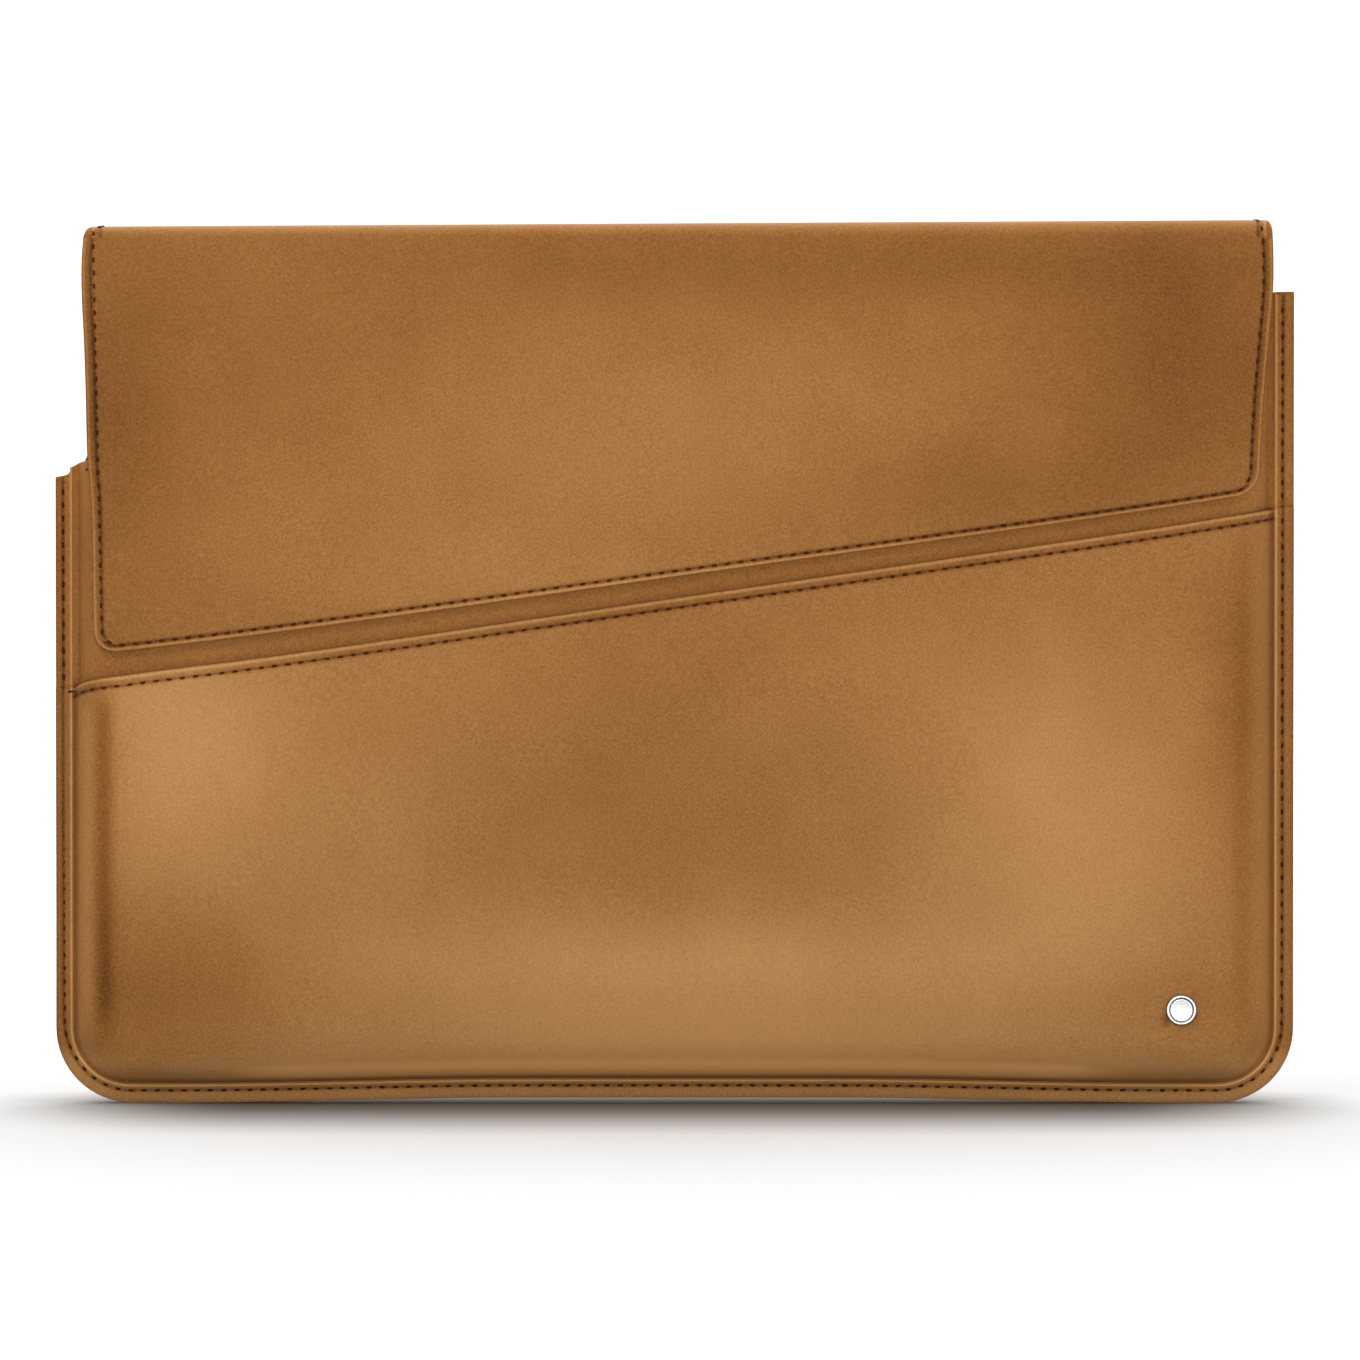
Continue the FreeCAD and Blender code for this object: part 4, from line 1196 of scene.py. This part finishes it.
def make_all_stitches():
    front = [tree_of(pocket_hide), tree_of(panel_hide)]
    behind = [tree_of(back_hide)]
    left_top = float(mouth_edge(-HALF_WIDTH + 3)) - 1.5
    right_top = float(mouth_edge(HALF_WIDTH - 3)) - 1.2
    seam = seam_path(left_top, right_top)
    hem = [(x, float(pocket_edge(x)) - POCKET_STITCH) for x in spaced(-185.5, 181.5, 1.0)]
    hem = [(x, max(z, 124.4)) for x, z in hem]
    mouth = [(x, float(mouth_edge(x)) - MOUTH_STITCH) for x in spaced(-179, 180, 1.0)]
    for name, trees, path, facing, node in (
            ("seam_stitches_front", front, seam, FRONT, "seam_needle_thread"),
            ("seam_stitches_back", behind, seam, BACK, "seam_bobbin_thread"),
            ("pocket_edge_stitches", front[:1], hem, FRONT, "pocket_edge_thread"),
            ("mouth_edge_stitches", front[1:], mouth, FRONT, "mouth_edge_thread")):
        piece = make_stitches(name, [on_surface(trees, facing_rays(path, facing))])
        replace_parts(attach(piece, "pouch"), node)

    runs = []
    for edge, spine, sign in ((back_left, SPINE_LEFT, 1), (back_right, SPINE_RIGHT, -1)):
        foot = (left_top if sign > 0 else right_top) + 3.5
        path = [(float(edge(z)) + sign * SIDE_STITCH, z) for z in spaced(foot, CREASE_Z, 1.0)]
        xs = narrowing(path[-1][0], spine + sign * SIDE_STITCH)
        runs.append(on_surface(behind, facing_rays(path, BACK) + over_rays(xs, BACK, BACK_OUT)[1:]))
    piece = make_stitches("back_side_stitches", runs)
    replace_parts(piece, "back_edge_thread", "spine_edge_thread")
    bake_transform(piece)

    path = flap_path()
    left, right = [over_rays(narrowing(end[0], spine), FRONT, FLAP_OUT)[1:] for end, spine in (
        (path[0], SPINE_LEFT + SIDE_STITCH), (path[-1], SPINE_RIGHT - SIDE_STITCH))]
    rays = left[::-1] + facing_rays(path, FRONT) + right
    piece = make_stitches("flap_stitches", [on_surface([tree_of(flap_hide)], rays)])
    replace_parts(piece, "flap_edge_thread", "spine_edge_thread")
    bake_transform(piece)


# ---- stud


# The cap's turned profile, as (radius, height over the pocket's face).
STUD_PROFILE = [
    (0.0, 0.66), (1.2, 0.67), (2.2, 0.70), (2.9, 0.75), (3.25, 0.79), (3.38, 0.77), (3.44, 0.60),
    (3.56, 0.60), (3.64, 0.70), (3.72, 0.80), (3.95, 0.86), (4.2, 0.86), (4.42, 0.80), (4.57, 0.66),
    (4.64, 0.46), (4.65, 0.22), (4.58, 0.05), (4.3, -0.12), (0.0, -0.12),
]
STUD_SIDES = 96


def stud_tone(x, y, z):
    """Painted shade and dark reflection in the groove, a slightly darker middle, and painted shade
    at the foot of the rim.
    """
    radius = from_stud(x, z)
    middle = -0.25 * smoothstep(3.4, 3.2, radius)
    return np.clip(middle - 1.3 * bell(radius - 3.5, 0.16) - 1.2 * smoothstep(4.3, 4.55, radius),
                   -1, 0)


def make_stud():
    """A turned and polished cap: rounded rim, a fine groove, and a slightly dished middle."""
    turns = np.linspace(0, 2 * math.pi, STUD_SIDES, endpoint=False)
    work = bmesh.new()
    rings = []
    for radius, height in STUD_PROFILE:
        around = turns if radius else [0.0]
        rings.append([work.verts.new((radius * math.cos(a) * MM, -height * MM,
                                      radius * math.sin(a) * MM)) for a in around])
    for inner, outer in zip(rings, rings[1:]):
        for j in range(STUD_SIDES):
            k = (j + 1) % STUD_SIDES
            if len(inner) == 1:
                work.faces.new((inner[0], outer[k], outer[j]))
            elif len(outer) == 1:
                work.faces.new((inner[j], inner[k], outer[0]))
            else:
                work.faces.new((inner[j], inner[k], outer[k], outer[j]))
    bmesh.ops.recalc_face_normals(work, faces=work.faces)
    seat = Vector((STUD[0], -POCKET_OUT, STUD[2])) * MM
    bmesh.ops.translate(work, verts=work.verts, vec=seat)
    piece = mesh_object("stud_turned_cap", mesh_from(work, "stud_turned_cap"))
    finish_piece(piece, STEEL, stud_tone)
    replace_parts(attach(piece, "pouch"), "stud_cap")


# ---- put together

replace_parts(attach(pocket_hide, "pouch"), "pocket_panel_leather")
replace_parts(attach(panel_hide, "pouch"), "inner_panel_leather")
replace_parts(back_hide, "back_leather", "spine_leather")
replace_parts(flap_hide, "flap_leather", "spine_leather")
make_all_stitches()
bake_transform(back_hide)
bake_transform(flap_hide)
make_linings()
make_pad("back_foam_pad", "back_padding", lambda x: node_box("back_padding")[1][2] + 0 * x)
make_pad("inner_panel_foam_pad", "inner_panel_padding", lambda x: mouth_edge(x) - 4.1)
make_stud()

# The hard parts keep their CAD shapes, and get their materials.
HARD_PARTS = {
    "back_board": BOARD, "flap_board": BOARD, "flap_magnet_left": NICKEL,
    "flap_magnet_right": NICKEL, "keeper_magnet_left": NICKEL, "keeper_magnet_right": NICKEL,
    "stud_post": STEEL, "stud_washer": STEEL,
}
for node, material in HARD_PARTS.items():
    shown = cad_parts[node].data
    shown.materials.clear()
    shown.materials.append(material)

# ---- stage, light and camera


def floor_material():
    """Pale floor: a painted contact shadow in front of the sleeve, and a glow far away from it."""
    material, tree, shader = new_material("studio_white", 0.75, specular=0.1)
    place = tree.nodes.new("ShaderNodeTexCoord").outputs["Object"]
    parts = tree.nodes.new("ShaderNodeSeparateXYZ")
    tree.links.new(place, parts.inputs["Vector"])
    across = socket_math(tree, "ABSOLUTE", parts.outputs["X"], 0)
    across = socket_math(tree, "MAXIMUM", socket_math(tree, "SUBTRACT", across, 0.125), 0)
    across = socket_math(tree, "MULTIPLY", across, 1.5)
    ahead = socket_math(tree, "MULTIPLY", parts.outputs["Y"], -1.0)
    behind = socket_math(tree, "MULTIPLY", parts.outputs["Y"], 2.2)
    along = socket_math(tree, "MAXIMUM", ahead, behind)
    away = socket_math(tree, "SQRT", socket_math(
        tree, "ADD", socket_math(tree, "MULTIPLY", across, across),
        socket_math(tree, "MULTIPLY", along, along)), 0)
    # Darker near the sleeve, further to the front than behind: a painted contact shadow.
    clear = spread(tree, away, 0.0, 0.155, 0.0, 1.0)
    tree.links.new(mix_colour(tree, clear, (0.100, 0.080, 0.062), (0.62, 0.62, 0.62)),
                   shader.inputs["Base Color"])
    tree.links.new(spread(tree, away, 0.9, 2.2, 0.0, 0.5), shader.inputs["Emission Strength"])
    shader.inputs["Emission Color"].default_value = (1, 1, 1, 1)
    return material


def make_stage():
    """A plain pale floor, wide enough to fill the view from any side."""
    work = bmesh.new()
    bmesh.ops.create_grid(work, x_segments=8, y_segments=8, size=14.0)
    mesh = mesh_from(work, "studio_floor")
    mesh.materials.append(floor_material())
    mesh_object("studio_floor", mesh)


def area_light(name, place, aim, size, power, colour=(1, 1, 1)):
    data = bpy.data.lights.new(name, "AREA")
    data.shape = "RECTANGLE"
    data.size, data.size_y = size
    data.energy = power
    data.color = colour
    lamp = bpy.data.objects.new(name, data)
    lamp.location = place
    lamp.rotation_euler = (Vector(aim) - Vector(place)).to_track_quat("-Z", "Y").to_euler()
    bpy.context.scene.collection.objects.link(lamp)


def make_backdrop():
    """A lit white screen, further behind than the camera stands in front."""
    mesh = bpy.data.meshes.new("studio_screen")
    corners = [(-8, 4.8, -0.5), (8, 4.8, -0.5), (8, 4.8, 6), (-8, 4.8, 6)]
    mesh.from_pydata(corners, [], [(0, 1, 2, 3)])
    material, _, shader = new_material("studio_screen", 1.0, specular=0.0)
    shader.inputs["Base Color"].default_value = (0.1, 0.1, 0.1, 1)
    shader.inputs["Emission Color"].default_value = (1, 1, 1, 1)
    shader.inputs["Emission Strength"].default_value = 1.05
    mesh.materials.append(material)
    mesh_object("studio_screen", mesh)


def make_lights():
    world = bpy.data.worlds.new("studio")
    world.use_nodes = True
    world.node_tree.nodes["Background"].inputs["Color"].default_value = (1, 1, 1, 1)
    world.node_tree.nodes["Background"].inputs["Strength"].default_value = 0.5
    bpy.context.scene.world = world
    area_light("ceiling", (0.0, 1.2, 2.6), (0, 1.2, 0), (5.0, 4.6), 150)
    area_light("key", (-0.7, -1.7, 1.5), (0, 0, 0.13), (0.7, 0.5), 10)
    area_light("side", (1.7, -1.1, 0.7), (0, 0, 0.13), (0.4, 0.9), 5)
    area_light("low", (0.1, -1.9, 0.16), (0, 0, 0.02), (1.6, 0.24), 8)


def make_camera():
    data = bpy.data.cameras.new("camera")
    distance, elevation = 4.0, math.radians(2.2)
    frame_width, frame_depth = 410.3 * MM, 8 * MM
    data.sensor_width = 36.0
    data.lens = 36.0 * (distance - frame_depth) / frame_width
    camera = bpy.data.objects.new("camera", data)
    aim = Vector((0.0016, 0.0, 0.1278))
    camera.location = aim + Vector((0, -math.cos(elevation), math.sin(elevation))) * distance
    camera.rotation_euler = (aim - camera.location).to_track_quat("-Z", "Y").to_euler()
    bpy.context.scene.collection.objects.link(camera)
    bpy.context.scene.camera = camera


make_stage()
make_backdrop()
make_lights()
make_camera()
bpy.context.scene.view_settings.view_transform = "Standard"
